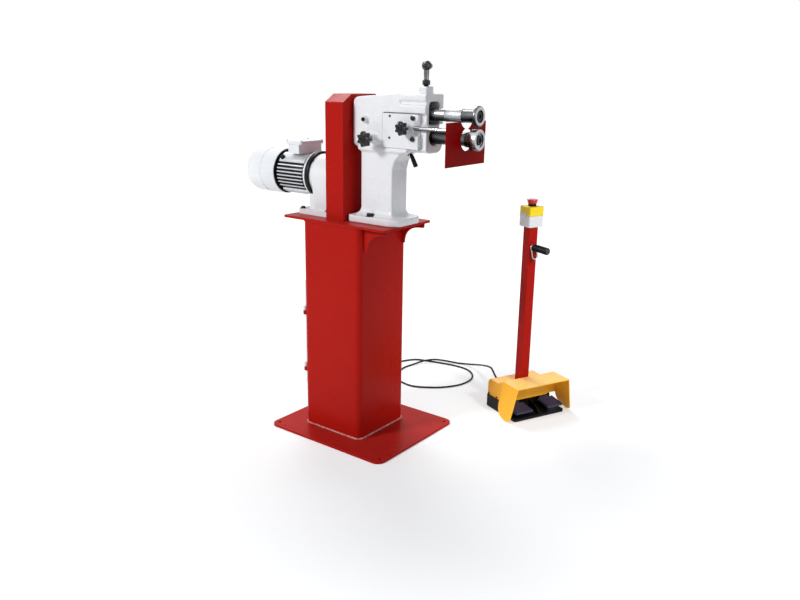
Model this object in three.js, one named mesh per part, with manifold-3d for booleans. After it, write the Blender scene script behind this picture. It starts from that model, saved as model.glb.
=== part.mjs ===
// Motor-driven bead roller on a floor stand, with its foot console.
// Units are millimetres, +Z is up and +X points towards the rolls.
// The origin is the centre of the base plate's underside.

import * as THREE from 'three';
import { mergeVertices } from 'three/addons/utils/BufferGeometryUtils.js';
import Module from 'manifold-3d';

const wasm = await Module();
wasm.setup();

// Driving dimensions

const clearance = 0.3; // between any two neighbouring pieces
const facets = { small: 10, medium: 16, large: 24 }; // sides of round forms

const basePlate = { length: 500, width: 430, thick: 8, corner: 30, holeRadius: 6 };
const anchorInset = { x: 21, y: 28 }; // of the bolt holes from the plate's edges
const column = { width: 250, centreX: -36, wall: 3, corner: 20 };
const deck = { top: 750, thick: 8, behind: 87, ahead: 101, beside: 2, corner: 8 }; // reaches past the column
const gusset = { setBack: 8.7, drop: 76, lip: 16, lipCorner: 4, foot: 12, thick: 6, inset: 25 };
const door = { width: 206, low: 150, high: 528, proud: 14, sheet: 2, overlap: 14, barrel: 6, barrelLength: 30 };
const doorHinges = { upper: 422, lower: 214, pin: 2.5, gap: 2 };

const guard = { front: -10.3, depth: 76, near: -88, far: 116, top: 1154, chamferWidth: 41, chamferDrop: 25, wall: 2 };

const foot = { rear: -8, front: 195, half: 76, thick: 23, rearCorner: 20, frontCorner: 38 };
const pillar = { rear: 23, front: 153, half: 41, corner: 7, footFillet: 22, frontFillet: 62, sideFillet: 8 };
const head = { rear: -10, front: 281, half: 48.5, low: 984.5, rearTop: 1149, top: 1161 };
const headCorner = { rear: 36, plan: 18, under: 30, top: 5 };
const lug = { length: 32, width: 40, top: 1183, corner: 5 };
const castingBolt = { x: 77, y: 58, across: 19, high: 10, spot: 14, spotHigh: 30 };

const lowerAxis = 1033.5;
const gearModule = 4;
const gearTeeth = 17;
const gearWidth = 22;
const gearBacklash = 1.4;
const gearRear = -36;
const upperShaftRadius = 19;
const lowerShaftRadius = 20;
const seatRadius = 15; // where gears and sprockets sit
const noseRadius = 12.5; // where the rolls sit
const bush = { wall: 3.4, length: 34 };
const lowerShaftRear = -80;
const plainBearing = 40; // length of the rear bearing bored in the metal

const swing = { pivotX: 2, ball: 30, ballHalf: 8, tube: 26, front: 276, halfOpening: 28, roof: 1139, floor: 1071 };
const notch = { length: 19, drop: 22 }; // cut in each side of the head, in front
const slot = { rear: 178, low: 1128, high: 1141, depth: 6 };
const screw = { x: 247, radius: 8, neck: 6.5, tip: 6, padRadius: 12, padThick: 6, bossRadius: 14, seatHeight: 29 };
const padPocketDepth = 8;
const stopNut = { low: 1187, high: 1201, across: 21 };
const hubBall = { above: 82, radius: 15 };
const hubTop = head.top + hubBall.above;
const tommyBar = { radius: 4.5, far: 65, near: 25, knob: 9, heading: 117 };

const sleeve = { from: 327, to: 387, radius: 20.5 };
const upperRoll = { to: 442, body: 19.5, rim: 30.7, rimWidth: 8, flare: 12, recess: 18.3 };
const lowerRoll = { to: 445, radius: 31.8, width: 25, recess: 20.6, hub: 19 };
const collar = { from: 399, to: 412, radius: 23 };
const rollBolt = { head: 14.5, stem: 6, stemLength: 26, socket: 12, sunk: 5 };

const clampPlate = { rear: 118, front: 254, below: 63, above: 42, thick: 16, seam: 2.5 };
const plateBite = { x: 262, outer: 28, inner: 12 }; // a coned relief round the rod in the plate's front end
const frontRim = { thick: 5, step: 7 }; // the head's edge left standing ahead of the plate
const stopRod = { y: -40.3, z: 1059, radius: 6.5, rear: 180 };
const stopPlate = { x: 395.3, thick: 3.7, near: -108, far: 105, low: 957, high: 1085, hole: 33, notch: 37 };
const rodKnob = { x: 213, from: -68, to: -84, radius: 22 };
const sideKnob = { x: 84, z: 1021, from: -87, to: -105, radius: 25, bossRadius: 14, bossTip: -70, studDepth: 24 };
const knobStud = 5;
const oilBoss = { x: 51, z: 1079, radius: 9, tip: -62 };
const leverSlot = { behind: 4, ahead: 10, above: 1, below: 5 }; // round the lever's eye
const lever = { x: 183, y: 10, z: 984, lean: 28, rod: 4, grip: 6.3, from: 12, to: 53, eye: 8, eyeWidth: 12, pin: 3 };

const chainPitch = 12.7;
const chainTeeth = 16;
const chainSpan = 12; // pitches between the two sprockets
const chainRoller = 4.25;
const chainPlate = { half: 5.2, thick: 1.5, gap: 8 };
const sprocket = { x: -66.5, width: 7.2, hub: 21, hubLength: 18 };

const cowl = { rear: -510, shoulder: -464, front: -342, radius: 79, wall: 2.5, rimThick: 4 };
const cowlVents = { count: 3, pitch: 24, width: 5, reach: 27 }; // slots in the domed end
const stator = { rear: -342, front: -200, core: 62, tip: 74, bore: 46, shield: 12, finPitch: 12, finThick: 4 };
const gearbox = { rear: -199, flangeFront: -180, front: -95, flange: 79, body: 72, hub: 32, hubFront: -84 };
const gearboxFoot = { rear: -236, front: -90, half: 70, thick: 17, corner: 14, leg: 24, waist: 56, legTop: 40 };
const output = { radius: 15, rear: -150, front: -52 };
const rotor = { shaft: 12, core: 45, coreFrom: -325, coreTo: -220, rear: -460, front: -172 };
const fan = { from: -454, to: -420, radius: 68, hub: 20, blades: 7, bladeThick: 3 };
const box = { from: -287, to: -237, half: 57, low: 68.9, split: 99.9, wall: 3 }; // heights over the motor's axis
const boxLid = { from: -303, to: -224, half: 58, high: 111.9, corner: 4, plan: 10 };

const consolePlace = { x: 392.4, y: 499.3, turn: -24.5 };
const pedalBase = { rear: -96, front: 89, near: -116, far: 112, high: 46, step: 1, tray: 10, corner: 8 };
const hood = { rear: -92, front: 101, near: -112, far: 89, sheet: 3, rearTop: 110, top: 122, frontTop: 132 };
const hoodBack = { lean: 10, drop: 12 }; // chamfer along the housing's rear top edge
const hoodWall = { a: 12, low: 50, rampFrom: -28, rampTo: -8 };
const wing = { half: 118, spread: 25, low: 2, rear: 54, front: 92, corner: 14 };
const pedal = { pivotA: 8, pivotZ: 35, barrel: 5.5, from: 16, to: 83, slope: 7.6, top: 4, thick: 7 };
const pedalSpans = { left: [-104, -28], right: [40, 110] };
const pedalEar = { inset: 8, width: 6, pin: 2.5, below: 9, above: 7, ahead: 3 };
const divider = { b: -2.5, thick: 3, rear: 21, high: 48, front: 86, low: 18, toe: 8, bow: 24, ease: 6 };
const post = { a: -12.7, b: -17, size: 38, wall: 2, top: 703, corner: 4 };
const estop = { size: 62, split: 743, top: 775, corner: 6, wall: 3, collar: 14, collarHigh: 6 };
const button = { top: 800, cap: 20, capHigh: 12, stem: 8, stemLow: 752 };
const grip = { z: 629, from: 13, to: 88, radius: 12.5, core: 5, cap: 9 };
const gripLoop = { low: 581, high: 641, half: 11, eye: 4, corner: 10.5, eyeCorner: 3.5, gap: 1.5 };

const gland = { radius: 9, hex: 22, hexThick: 7, length: 22, stem: 6 };
const controlGland = { x: -110, z: 70 };
const consoleGland = { b: -50, z: 85 };
const cord = { radius: 3.75, sides: 8, steps: 72 };

// Values that follow from the driving dimensions

const upperAxis = lowerAxis + gearModule * gearTeeth;
const outputAxis = lowerAxis - chainSpan * chainPitch;
const guardRear = guard.front - guard.depth;
const seat = deck.top + clearance;
const hoodLow = pedalBase.high + clearance;
const wingLean = wing.spread / (hood.frontTop - wing.low);
const plateLow = stopRod.z - clampPlate.below;
const plateHigh = stopRod.z + clampPlate.above;

// Finishes

const redPaint = { color: 0xa61d1a, roughness: 0.35, metalness: 0 };
const whiteCast = { color: 0xe9e9e8, roughness: 0.4, metalness: 0 };
const greyCast = { color: 0xcfd2d4, roughness: 0.45, metalness: 0 };
const finnedAlloy = { color: 0xb9bcbe, roughness: 0.4, metalness: 0.8 };
const brightSteel = { color: 0xc9cbce, roughness: 0.22, metalness: 1 };
const darkSteel = { color: 0x3a3b3e, roughness: 0.35, metalness: 1 };
const bronze = { color: 0xa57a3c, roughness: 0.4, metalness: 1 };
const blackPlastic = { color: 0x17181a, roughness: 0.45, metalness: 0 };
const blueBlack = { color: 0x30334a, roughness: 0.6, metalness: 0 };
const yellowShell = { color: 0xf0a81e, roughness: 0.5, metalness: 0 };
const yellowLid = { color: 0xf2d11f, roughness: 0.4, metalness: 0 };
const paleGrey = { color: 0xd9dadb, roughness: 0.5, metalness: 0 };
const redButton = { color: 0xc4141c, roughness: 0.3, metalness: 0 };
const chrome = { color: 0xdedfe2, roughness: 0.08, metalness: 1 };

// Scene graph

const group = new THREE.Group();
const footConsole = new THREE.Group();
footConsole.position.set(consolePlace.x, consolePlace.y, 0);
footConsole.rotation.z = THREE.MathUtils.degToRad(consolePlace.turn);
group.add(footConsole);

function piece(parent, name, geometry, finish) {
  const mesh = new THREE.Mesh(toGeometry(toSolid(geometry)), new THREE.MeshStandardMaterial(finish));
  mesh.name = name;
  parent.add(mesh);
  return mesh;
}

// Solids: a geometry's shared vertices are merged, and its faces turned outwards

function toSolid(geometry) {
  const bare = new THREE.BufferGeometry();
  bare.setAttribute('position', geometry.attributes.position.clone());
  bare.setIndex(geometry.index ? geometry.index.clone() : null);
  const merged = mergeVertices(bare, 1e-4);
  const points = merged.attributes.position;
  const at = merged.index.array;
  const corners = [];
  const a = new THREE.Vector3();
  const b = new THREE.Vector3();
  const c = new THREE.Vector3();
  let volume = 0;
  for (let i = 0; i < at.length; i += 3) {
    if (at[i] === at[i + 1] || at[i + 1] === at[i + 2] || at[i] === at[i + 2]) continue;
    corners.push(at[i], at[i + 1], at[i + 2]);
    a.fromBufferAttribute(points, at[i]);
    b.fromBufferAttribute(points, at[i + 1]);
    c.fromBufferAttribute(points, at[i + 2]);
    volume += a.dot(b.cross(c));
  }
  if (volume < 0) corners.reverse();
  return new wasm.Manifold(new wasm.Mesh({
    numProp: 3,
    vertProperties: Float32Array.from(points.array),
    triVerts: Uint32Array.from(corners),
  }));
}

function toGeometry(solid) {
  const mesh = solid.getMesh();
  const geometry = new THREE.BufferGeometry();
  geometry.setAttribute('position', new THREE.BufferAttribute(mesh.vertProperties, 3));
  geometry.setIndex(new THREE.BufferAttribute(mesh.triVerts, 1));
  geometry.computeVertexNormals();
  return geometry;
}

function join(...geometries) {
  return toGeometry(geometries.map(toSolid).reduce((sum, next) => sum.add(next)));
}

function cut(body, ...tools) {
  return toGeometry(tools.map(toSolid).reduce((left, tool) => left.subtract(tool), toSolid(body)));
}

function common(...geometries) {
  return toGeometry(geometries.map(toSolid).reduce((left, next) => left.intersect(next)));
}

// Plain forms, given by where they start and end

function block(x0, x1, y0, y1, z0, z1) {
  const geometry = new THREE.BoxGeometry(x1 - x0, y1 - y0, z1 - z0);
  return geometry.translate((x0 + x1) / 2, (y0 + y1) / 2, (z0 + z1) / 2);
}

const turnTo = {
  x: (geometry) => geometry.rotateZ(-Math.PI / 2),
  y: (geometry) => geometry,
  z: (geometry) => geometry.rotateX(Math.PI / 2),
};

// A round bar along an axis, through the point given by its other two coordinates
function bar(axis, radius, from, to, place, sides = facets.small) {
  const geometry = new THREE.CylinderGeometry(radius, radius, to - from, sides);
  geometry.translate(0, (from + to) / 2, 0);
  return turnTo[axis](geometry).translate(...place);
}

// A round hole's cutter: its flats, not its corners, lie on the radius
function drill(axis, radius, from, to, place, sides = facets.medium) {
  return bar(axis, radius / Math.cos(Math.PI / sides), from, to, place, sides);
}

// A hexagonal bar, by its width across flats
function hexBar(axis, across, from, to, place) {
  return bar(axis, across / Math.sqrt(3), from, to, place, 6);
}

// A turned form: the profile is a list of [radius, position along the axis]
function turned(axis, profile, place, sides = facets.medium) {
  const points = profile.map(([radius, along]) => new THREE.Vector2(radius, along));
  return turnTo[axis](new THREE.LatheGeometry(points, sides)).translate(...place);
}

// A turned ring with a plain bore
function ring(axis, bore, profile, place, sides = facets.medium) {
  const inside = bore / Math.cos(Math.PI / sides);
  const first = [inside, profile[0][1]];
  const last = [inside, profile[profile.length - 1][1]];
  return turned(axis, [first, ...profile, last, first], place, sides);
}

// A shape pushed along an axis. It is drawn in (y, z) for x, (x, z) for y and (x, y) for z.
function prism(axis, shape, from, to, curveSegments = 4) {
  const geometry = new THREE.ExtrudeGeometry(shape, { depth: to - from, bevelEnabled: false, curveSegments });
  const turn = new THREE.Matrix4();
  if (axis === 'x') {
    turn.makeBasis(new THREE.Vector3(0, 1, 0), new THREE.Vector3(0, 0, 1), new THREE.Vector3(1, 0, 0));
    return geometry.applyMatrix4(turn).translate(from, 0, 0);
  }
  if (axis === 'y') {
    turn.makeBasis(new THREE.Vector3(1, 0, 0), new THREE.Vector3(0, 0, 1), new THREE.Vector3(0, -1, 0));
    return geometry.applyMatrix4(turn).translate(0, to, 0);
  }
  return geometry.translate(0, 0, from);
}

function polygon(points) {
  return new THREE.Shape(points.map(([u, v]) => new THREE.Vector2(u, v)));
}

// The radius is one number, or four: high-high, low-high, low-low and high-low corners in (u, v)
function roundedRect(u0, u1, v0, v1, radius) {
  const [a, b, c, d] = Array.isArray(radius) ? radius : [radius, radius, radius, radius];
  const shape = new THREE.Shape();
  shape.absarc(u1 - a, v1 - a, a, 0, Math.PI / 2);
  shape.absarc(u0 + b, v1 - b, b, Math.PI / 2, Math.PI);
  shape.absarc(u0 + c, v0 + c, c, Math.PI, Math.PI * 1.5);
  shape.absarc(u1 - d, v0 + d, d, Math.PI * 1.5, Math.PI * 2);
  return shape;
}

function circlePath(u, v, radius) {
  return new THREE.Path().absarc(u, v, radius, 0, Math.PI * 2, true);
}

// A skin over rings of points that all have the same count, closed at both ends
function loft(rings) {
  const count = rings[0].length;
  const corners = [];
  for (let i = 0; i + 1 < rings.length; i += 1) {
    for (let j = 0; j < count; j += 1) {
      const a = i * count + j;
      const b = i * count + ((j + 1) % count);
      corners.push(a, b, b + count, a, b + count, a + count);
    }
  }
  const last = (rings.length - 1) * count;
  for (let j = 1; j + 1 < count; j += 1) {
    corners.push(0, j + 1, j, last, last + j, last + j + 1);
  }
  const geometry = new THREE.BufferGeometry();
  geometry.setAttribute('position', new THREE.Float32BufferAttribute(rings.flat(2), 3));
  geometry.setIndex(corners);
  return geometry;
}

// Stand

const columnHalf = column.width / 2;
const columnLow = basePlate.thick + clearance;
const columnHigh = deck.top - deck.thick - clearance;
const columnRear = column.centreX - columnHalf;
const columnFront = column.centreX + columnHalf;

function makeBasePlate() {
  const halfLength = basePlate.length / 2;
  const halfWidth = basePlate.width / 2;
  const shape = roundedRect(-halfLength, halfLength, -halfWidth, halfWidth, basePlate.corner);
  const holeX = halfLength - anchorInset.x;
  const holeY = halfWidth - anchorInset.y;
  for (const x of [-holeX, holeX]) {
    for (const y of [-holeY, holeY]) {
      shape.holes.push(circlePath(x, y, basePlate.holeRadius));
    }
  }
  return prism('z', shape, 0, basePlate.thick);
}

function makeColumn() {
  const inside = columnHalf - column.wall;
  const cx = column.centreX;
  const outer = roundedRect(cx - columnHalf, cx + columnHalf, -columnHalf, columnHalf, column.corner);
  outer.holes.push(roundedRect(cx - inside, cx + inside, -inside, inside, column.corner - column.wall));
  const shell = prism('z', outer, columnLow, columnHigh);
  const openHalf = door.width / 2 - door.overlap;
  const doorway = block(
    columnRear - column.wall, columnRear + 2 * column.wall,
    -openHalf, openHalf,
    door.low + door.overlap, door.high - door.overlap,
  );
  const stemRadius = gland.stem + clearance;
  const stemHole = drill('y', stemRadius, 0, columnHalf + column.wall, [controlGland.x, 0, controlGland.z]);
  return cut(shell, doorway, stemHole);
}

function makeGusset(side) {
  const inner = columnFront + clearance;
  const outer = columnFront + deck.ahead - gusset.setBack;
  const { lip, lipCorner, drop, foot: tip } = gusset;
  const shape = new THREE.Shape();
  shape.moveTo(inner, columnHigh);
  shape.lineTo(outer, columnHigh);
  shape.lineTo(outer, columnHigh - lip + lipCorner);
  shape.quadraticCurveTo(outer, columnHigh - lip, outer - lipCorner, columnHigh - lip);
  shape.quadraticCurveTo(inner + tip, columnHigh - lip, inner + tip, columnHigh - drop);
  shape.lineTo(inner, columnHigh - drop);
  const y = side * (columnHalf - gusset.inset);
  return prism('y', shape, y - gusset.thick / 2, y + gusset.thick / 2, 10);
}

function makeDeck() {
  const halfWidth = columnHalf + deck.beside;
  const shape = roundedRect(
    columnRear - deck.behind, columnFront + deck.ahead, -halfWidth, halfWidth, deck.corner,
  );
  return prism('z', shape, deck.top - deck.thick, deck.top);
}

// The door is a shallow tray hung on two hinges behind the column

const doorFront = columnRear - clearance;
const doorRear = doorFront - door.proud;
const doorHalf = door.width / 2;
const hingeY = -doorHalf - door.barrel - doorHinges.gap;
const hingeX = doorFront - door.barrel - doorHinges.gap;

function makeDoor() {
  const shell = block(doorRear, doorFront, -doorHalf, doorHalf, door.low, door.high);
  const hollow = block(
    doorRear + door.sheet, doorFront + 1,
    -doorHalf + door.sheet, doorHalf - door.sheet,
    door.low + door.sheet, door.high - door.sheet,
  );
  const knuckles = [doorHinges.upper, doorHinges.lower].map((z) => {
    const low = z + clearance;
    const high = z + door.barrelLength / 2;
    const knuckle = bar('z', door.barrel, low, high, [hingeX, hingeY, 0], facets.small);
    const arm = block(hingeX - door.barrel, hingeX - 1, hingeY, -doorHalf + 1, low, high);
    const pinHole = drill(
      'z', doorHinges.pin + clearance, low - 1, high - door.sheet, [hingeX, hingeY, 0], facets.small,
    );
    return cut(join(knuckle, arm), pinHole);
  });
  return join(cut(shell, hollow), ...knuckles);
}

function makeHinge(z) {
  const low = z - door.barrelLength / 2;
  const barrel = bar('z', door.barrel, low, z, [hingeX, hingeY, 0], facets.small);
  const pinTop = z + door.barrelLength / 2 - door.sheet - clearance;
  const pin = bar('z', doorHinges.pin, z - 1, pinTop, [hingeX, hingeY, 0], facets.small);
  const leaf = block(hingeX, doorFront, hingeY - door.barrel, hingeY + door.barrel, low, z);
  return join(barrel, pin, leaf);
}

piece(group, 'base_plate', makeBasePlate(), redPaint);
piece(group, 'column', makeColumn(), redPaint);
piece(group, 'gusset_near', makeGusset(-1), redPaint);
piece(group, 'gusset_far', makeGusset(1), redPaint);
piece(group, 'top_plate', makeDeck(), redPaint);
piece(group, 'service_door', makeDoor(), paleGrey);
piece(group, 'door_hinge_upper', makeHinge(doorHinges.upper), redPaint);
piece(group, 'door_hinge_lower', makeHinge(doorHinges.lower), redPaint);

// Chain guard: a shell open at the back, closed by a flat plate

function guardOutline(inset, low) {
  const near = guard.near + inset;
  const far = guard.far - inset;
  const top = guard.top - inset;
  return polygon([
    [near, low],
    [far, low],
    [far, top - guard.chamferDrop],
    [far - guard.chamferWidth, top],
    [near + guard.chamferWidth, top],
    [near, top - guard.chamferDrop],
  ]);
}

function makeGuard() {
  const rear = guardRear + guard.wall + clearance;
  const shell = prism('x', guardOutline(0, seat), rear, guard.front);
  const hollow = prism('x', guardOutline(guard.wall, seat + guard.wall), rear - 1, guard.front - guard.wall);
  const reach = swing.ball;
  const opening = roundedRect(-reach, reach, lowerAxis - reach, upperAxis + reach, reach - 1);
  return cut(shell, hollow, prism('x', opening, guard.front - 2 * guard.wall, guard.front + 1));
}

function makeGuardBack() {
  const outline = guardOutline(0, seat);
  outline.holes.push(circlePath(0, outputAxis, gearbox.hub + 3));
  return prism('x', outline, guardRear, guardRear + guard.wall, 8);
}

piece(group, 'chain_guard', makeGuard(), redPaint);
piece(group, 'guard_back', makeGuardBack(), redPaint);

// Frame casting: foot, pillar and head in one piece

const footTop = seat + foot.thick;
const lowerBoreRadius = lowerShaftRadius + bush.wall + 2 * clearance;
const rodPlateSeat = -head.half + clampPlate.thick + clearance;

// How far a quarter-round fillet stands out, at a distance from the face it runs into
function filletReach(radius, distance) {
  if (distance >= radius) return 0;
  const left = radius - Math.max(distance, 0);
  return radius - Math.sqrt(radius * radius - left * left);
}

function pillarOutline(z) {
  const atFoot = filletReach(pillar.footFillet, z - footTop);
  const under = head.low - z;
  const front = pillar.front + Math.max(atFoot, filletReach(pillar.frontFillet, under));
  const rear = pillar.rear - Math.max(atFoot, filletReach(pillar.sideFillet, under));
  const footSpread = Math.min(atFoot, castingBolt.y - pillar.half);
  const half = pillar.half + Math.max(footSpread, filletReach(pillar.sideFillet, under));
  const outline = roundedRect(Math.max(rear, foot.rear + 1), front, -half, half, pillar.corner);
  return outline.getPoints(2).slice(0, -1).map((point) => [point.x, point.y, z]);
}

function makePillar() {
  const steps = 3;
  const heights = [footTop - 4];
  for (let i = 0; i <= steps; i += 1) {
    heights.push(footTop + pillar.footFillet * (1 - Math.cos((i * Math.PI) / 2 / steps)));
  }
  for (let i = steps; i >= 0; i -= 1) {
    heights.push(head.low - pillar.frontFillet * (1 - Math.cos((i * Math.PI) / 2 / steps)));
  }
  heights.push(head.low + headCorner.under / 2);
  return loft(heights.map(pillarOutline));
}

function makeFoot() {
  const corners = [foot.frontCorner, foot.rearCorner, foot.rearCorner, foot.frontCorner];
  return prism('z', roundedRect(foot.rear, foot.front, -foot.half, foot.half, corners), seat, footTop, 6);
}

function makeHeadBlock() {
  const { rear, front, half, low, rearTop, top } = head;
  const r = headCorner.rear;
  const side = new THREE.Shape();
  side.moveTo(front, low);
  side.lineTo(front, top);
  side.lineTo((rear + front) / 2 + r, top);
  side.lineTo(rear + r, rearTop);
  side.absarc(rear + r, rearTop - r, r, Math.PI / 2, Math.PI);
  side.absarc(rear + r, low + r, r, Math.PI, Math.PI * 1.5);
  const plan = roundedRect(rear, front, -half, half, [1, headCorner.plan, headCorner.plan, 1]);
  const corners = [headCorner.top, headCorner.top, headCorner.under, headCorner.under];
  const section = roundedRect(-half, half, low, top, corners);
  return common(
    prism('y', side, -half, half, 4),
    prism('z', plan, low - 1, top + 1, 3),
    prism('x', section, rear - 1, front + 1, 3),
  );
}

function sideBoss(place, radius, tip) {
  return turned('y', [
    [0, tip],
    [radius - 1, tip],
    [radius, tip + 1],
    [radius, -head.half - 6],
    [radius + 6, -head.half + 2],
    [0, -head.half + 2],
  ], [place.x, 0, place.z], facets.small);
}

function makeCastingBody() {
  const lugRear = screw.x - lug.length / 2;
  const lugShape = roundedRect(lugRear, lugRear + lug.length, -lug.width / 2, lug.width / 2, lug.corner);
  return join(
    makeFoot(),
    makePillar(),
    makeHeadBlock(),
    prism('z', lugShape, head.top - 10, lug.top, 3),
    sideBoss(sideKnob, sideKnob.bossRadius, sideKnob.bossTip),
    sideBoss(oilBoss, oilBoss.radius, oilBoss.tip),
  );
}

function makeLeverSlot() {
  const half = lever.eyeWidth / 2 + clearance;
  return block(
    lever.x - lever.eye - leverSlot.behind, lever.x + lever.eye + leverSlot.ahead,
    lever.y - half, lever.y + half,
    lever.z - lever.eye - leverSlot.below, lever.z + lever.eye + leverSlot.above,
  );
}

function makeCasting() {
  const opening = roundedRect(-swing.halfOpening, swing.halfOpening, swing.floor, swing.roof, [14, 14, 3, 3]);
  const armSpace = prism('x', opening, swing.pivotX + 12, head.front + 1, 4);
  const ballSeat = drill(
    'x', swing.ball + 0.5, head.rear - 1, swing.pivotX + 13, [0, 0, upperAxis], facets.large,
  );
  const rearBore = drill(
    'x', lowerShaftRadius + clearance, head.rear - 1, head.front, [0, 0, lowerAxis], facets.medium,
  );
  const frontBore = drill(
    'x', lowerBoreRadius, head.rear + plainBearing, head.front + 1, [0, 0, lowerAxis], facets.medium,
  );
  const padPocket = drill(
    'z', screw.padRadius + 2, swing.roof - 12, swing.roof + padPocketDepth, [screw.x, 0, 0],
  );
  const screwHole = drill('z', screw.radius + clearance, swing.roof, lug.top + 1, [screw.x, 0, 0]);
  const notches = [-1, 1].map((side) => block(
    head.front - notch.length, head.front + 1,
    side > 0 ? swing.halfOpening + 1 : -head.half - 1, side > 0 ? head.half + 1 : -swing.halfOpening - 1,
    swing.floor - notch.drop, swing.floor,
  ));
  const plateRecess = block(
    clampPlate.rear, head.front - frontRim.thick,
    -head.half - 1, rodPlateSeat,
    plateLow, plateHigh + clampPlate.seam,
  );
  const rimStep = block(
    clampPlate.front, head.front + 1,
    -head.half - 1, -head.half + frontRim.step,
    plateLow, plateHigh + clampPlate.seam,
  );
  const slotShape = polygon([
    [slot.rear, slot.high],
    [head.front + 1, slot.high],
    [head.front + 1, slot.low],
    [slot.rear + 12, slot.low],
  ]);
  const sideSlot = prism('y', slotShape, -head.half - 1, -head.half + slot.depth);
  const rodWay = drill(
    'x', stopRod.radius + 2, clampPlate.front - 1, head.front + 1, [0, stopRod.y, stopRod.z], facets.small,
  );
  const studEnd = -head.half + sideKnob.studDepth + 2;
  const studHole = drill(
    'y', knobStud + clearance, sideKnob.bossTip - 1, studEnd, [sideKnob.x, 0, sideKnob.z], facets.small,
  );
  const spots = [-1, 1].map((side) => drill(
    'z', castingBolt.spot, footTop, footTop + castingBolt.spotHigh, [castingBolt.x, side * castingBolt.y, 0],
  ));
  const open = cut(
    makeCastingBody(), armSpace, ballSeat, rearBore, frontBore, padPocket, screwHole,
    ...notches, plateRecess, rimStep, sideSlot, rodWay, studHole, ...spots, makeLeverSlot(),
  );
  const pinHalf = lever.eyeWidth / 2 + 2;
  const pinAt = [lever.x, 0, lever.z];
  return join(open, bar('y', lever.pin, lever.y - pinHalf, lever.y + pinHalf, pinAt, facets.small));
}

function makeCastingBolt(side) {
  const low = footTop + clearance;
  return hexBar('z', castingBolt.across, low, low + castingBolt.high, [castingBolt.x, side * castingBolt.y, 0]);
}

piece(group, 'frame_casting', makeCasting(), whiteCast);
piece(group, 'casting_bolt_near', makeCastingBolt(-1), darkSteel);
piece(group, 'casting_bolt_far', makeCastingBolt(1), darkSteel);

// Clamp plate on the head's side, which guides and locks the stop rod

function makeClampPlate() {
  const rear = clampPlate.rear + clearance;
  const low = plateLow + clearance;
  const inner = -head.half + clampPlate.thick;
  const slab = block(rear, clampPlate.front, -head.half, inner, low, plateHigh);
  const bite = turned('y', [
    [0, -head.half - 1],
    [plateBite.outer, -head.half - 1],
    [plateBite.outer, -head.half],
    [plateBite.inner, inner],
    [plateBite.inner, inner + 1],
    [0, inner + 1],
  ], [plateBite.x, 0, stopRod.z], facets.large);
  const rodBore = drill(
    'x', stopRod.radius + clearance, rear - 1, clampPlate.front + 1, [0, stopRod.y, stopRod.z], facets.small,
  );
  const studBore = drill(
    'y', knobStud + clearance, -head.half - 12, stopRod.y, [rodKnob.x, 0, stopRod.z], facets.small,
  );
  const dishAt = [rodKnob.x - rodKnob.radius, 0, stopRod.z];
  const dish = drill('y', rodKnob.radius, -head.half - 1, -head.half + 2, dishAt, facets.medium);
  return cut(slab, bite, dish, rodBore, studBore);
}

function starShape(radius, lobes = 7) {
  const steps = lobes * 4;
  const points = [];
  for (let i = 0; i < steps; i += 1) {
    const angle = (i / steps) * Math.PI * 2;
    const reach = radius * (0.9 + 0.1 * Math.cos(angle * lobes));
    points.push([reach * Math.cos(angle), reach * Math.sin(angle)]);
  }
  return polygon(points);
}

function makeStarKnob(knob, z, studTip) {
  const crown = prism('y', starShape(knob.radius), knob.to, knob.from).translate(knob.x, 0, z);
  const hub = bar('y', knob.radius * 0.42, knob.from - 1, knob.from + 6, [knob.x, 0, z], facets.small);
  const stud = bar('y', knobStud, knob.from - 1, studTip, [knob.x, 0, z], facets.small);
  return join(crown, hub, stud);
}

const rodKnobTip = stopRod.y - stopRod.radius - clearance;

piece(group, 'rod_clamp_plate', makeClampPlate(), whiteCast);
piece(group, 'rod_clamp_knob', makeStarKnob(rodKnob, stopRod.z, rodKnobTip), blackPlastic);
const sideKnobTip = -head.half + sideKnob.studDepth;
piece(group, 'side_clamp_knob', makeStarKnob(sideKnob, sideKnob.z, sideKnobTip), blackPlastic);

// Sheet stop on its sliding rod

function makeStopPlate() {
  const { x, thick, near, far, low, high, hole } = stopPlate;
  const plate = block(x, x + thick, near, far, low, high);
  const lowerHole = drill('x', hole, x - 1, x + thick + 1, [0, 0, lowerAxis], facets.large);
  const upperNotch = drill('x', stopPlate.notch, x - 1, x + thick + 1, [0, 0, upperAxis], facets.large);
  return cut(plate, lowerHole, upperNotch);
}

function makeStopRod() {
  const tip = stopPlate.x - clearance;
  return turned('x', [
    [0, stopRod.rear],
    [stopRod.radius, stopRod.rear],
    [stopRod.radius, tip],
    [0, tip],
  ], [0, stopRod.y, stopRod.z], facets.small);
}

piece(group, 'stop_plate', makeStopPlate(), redPaint);
piece(group, 'stop_rod', makeStopRod(), brightSteel);

// Gears. The flanks are involutes of a 20 degree rack, from the base circle to the tip.

function involute(angle) {
  return Math.tan(angle) - angle;
}

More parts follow.
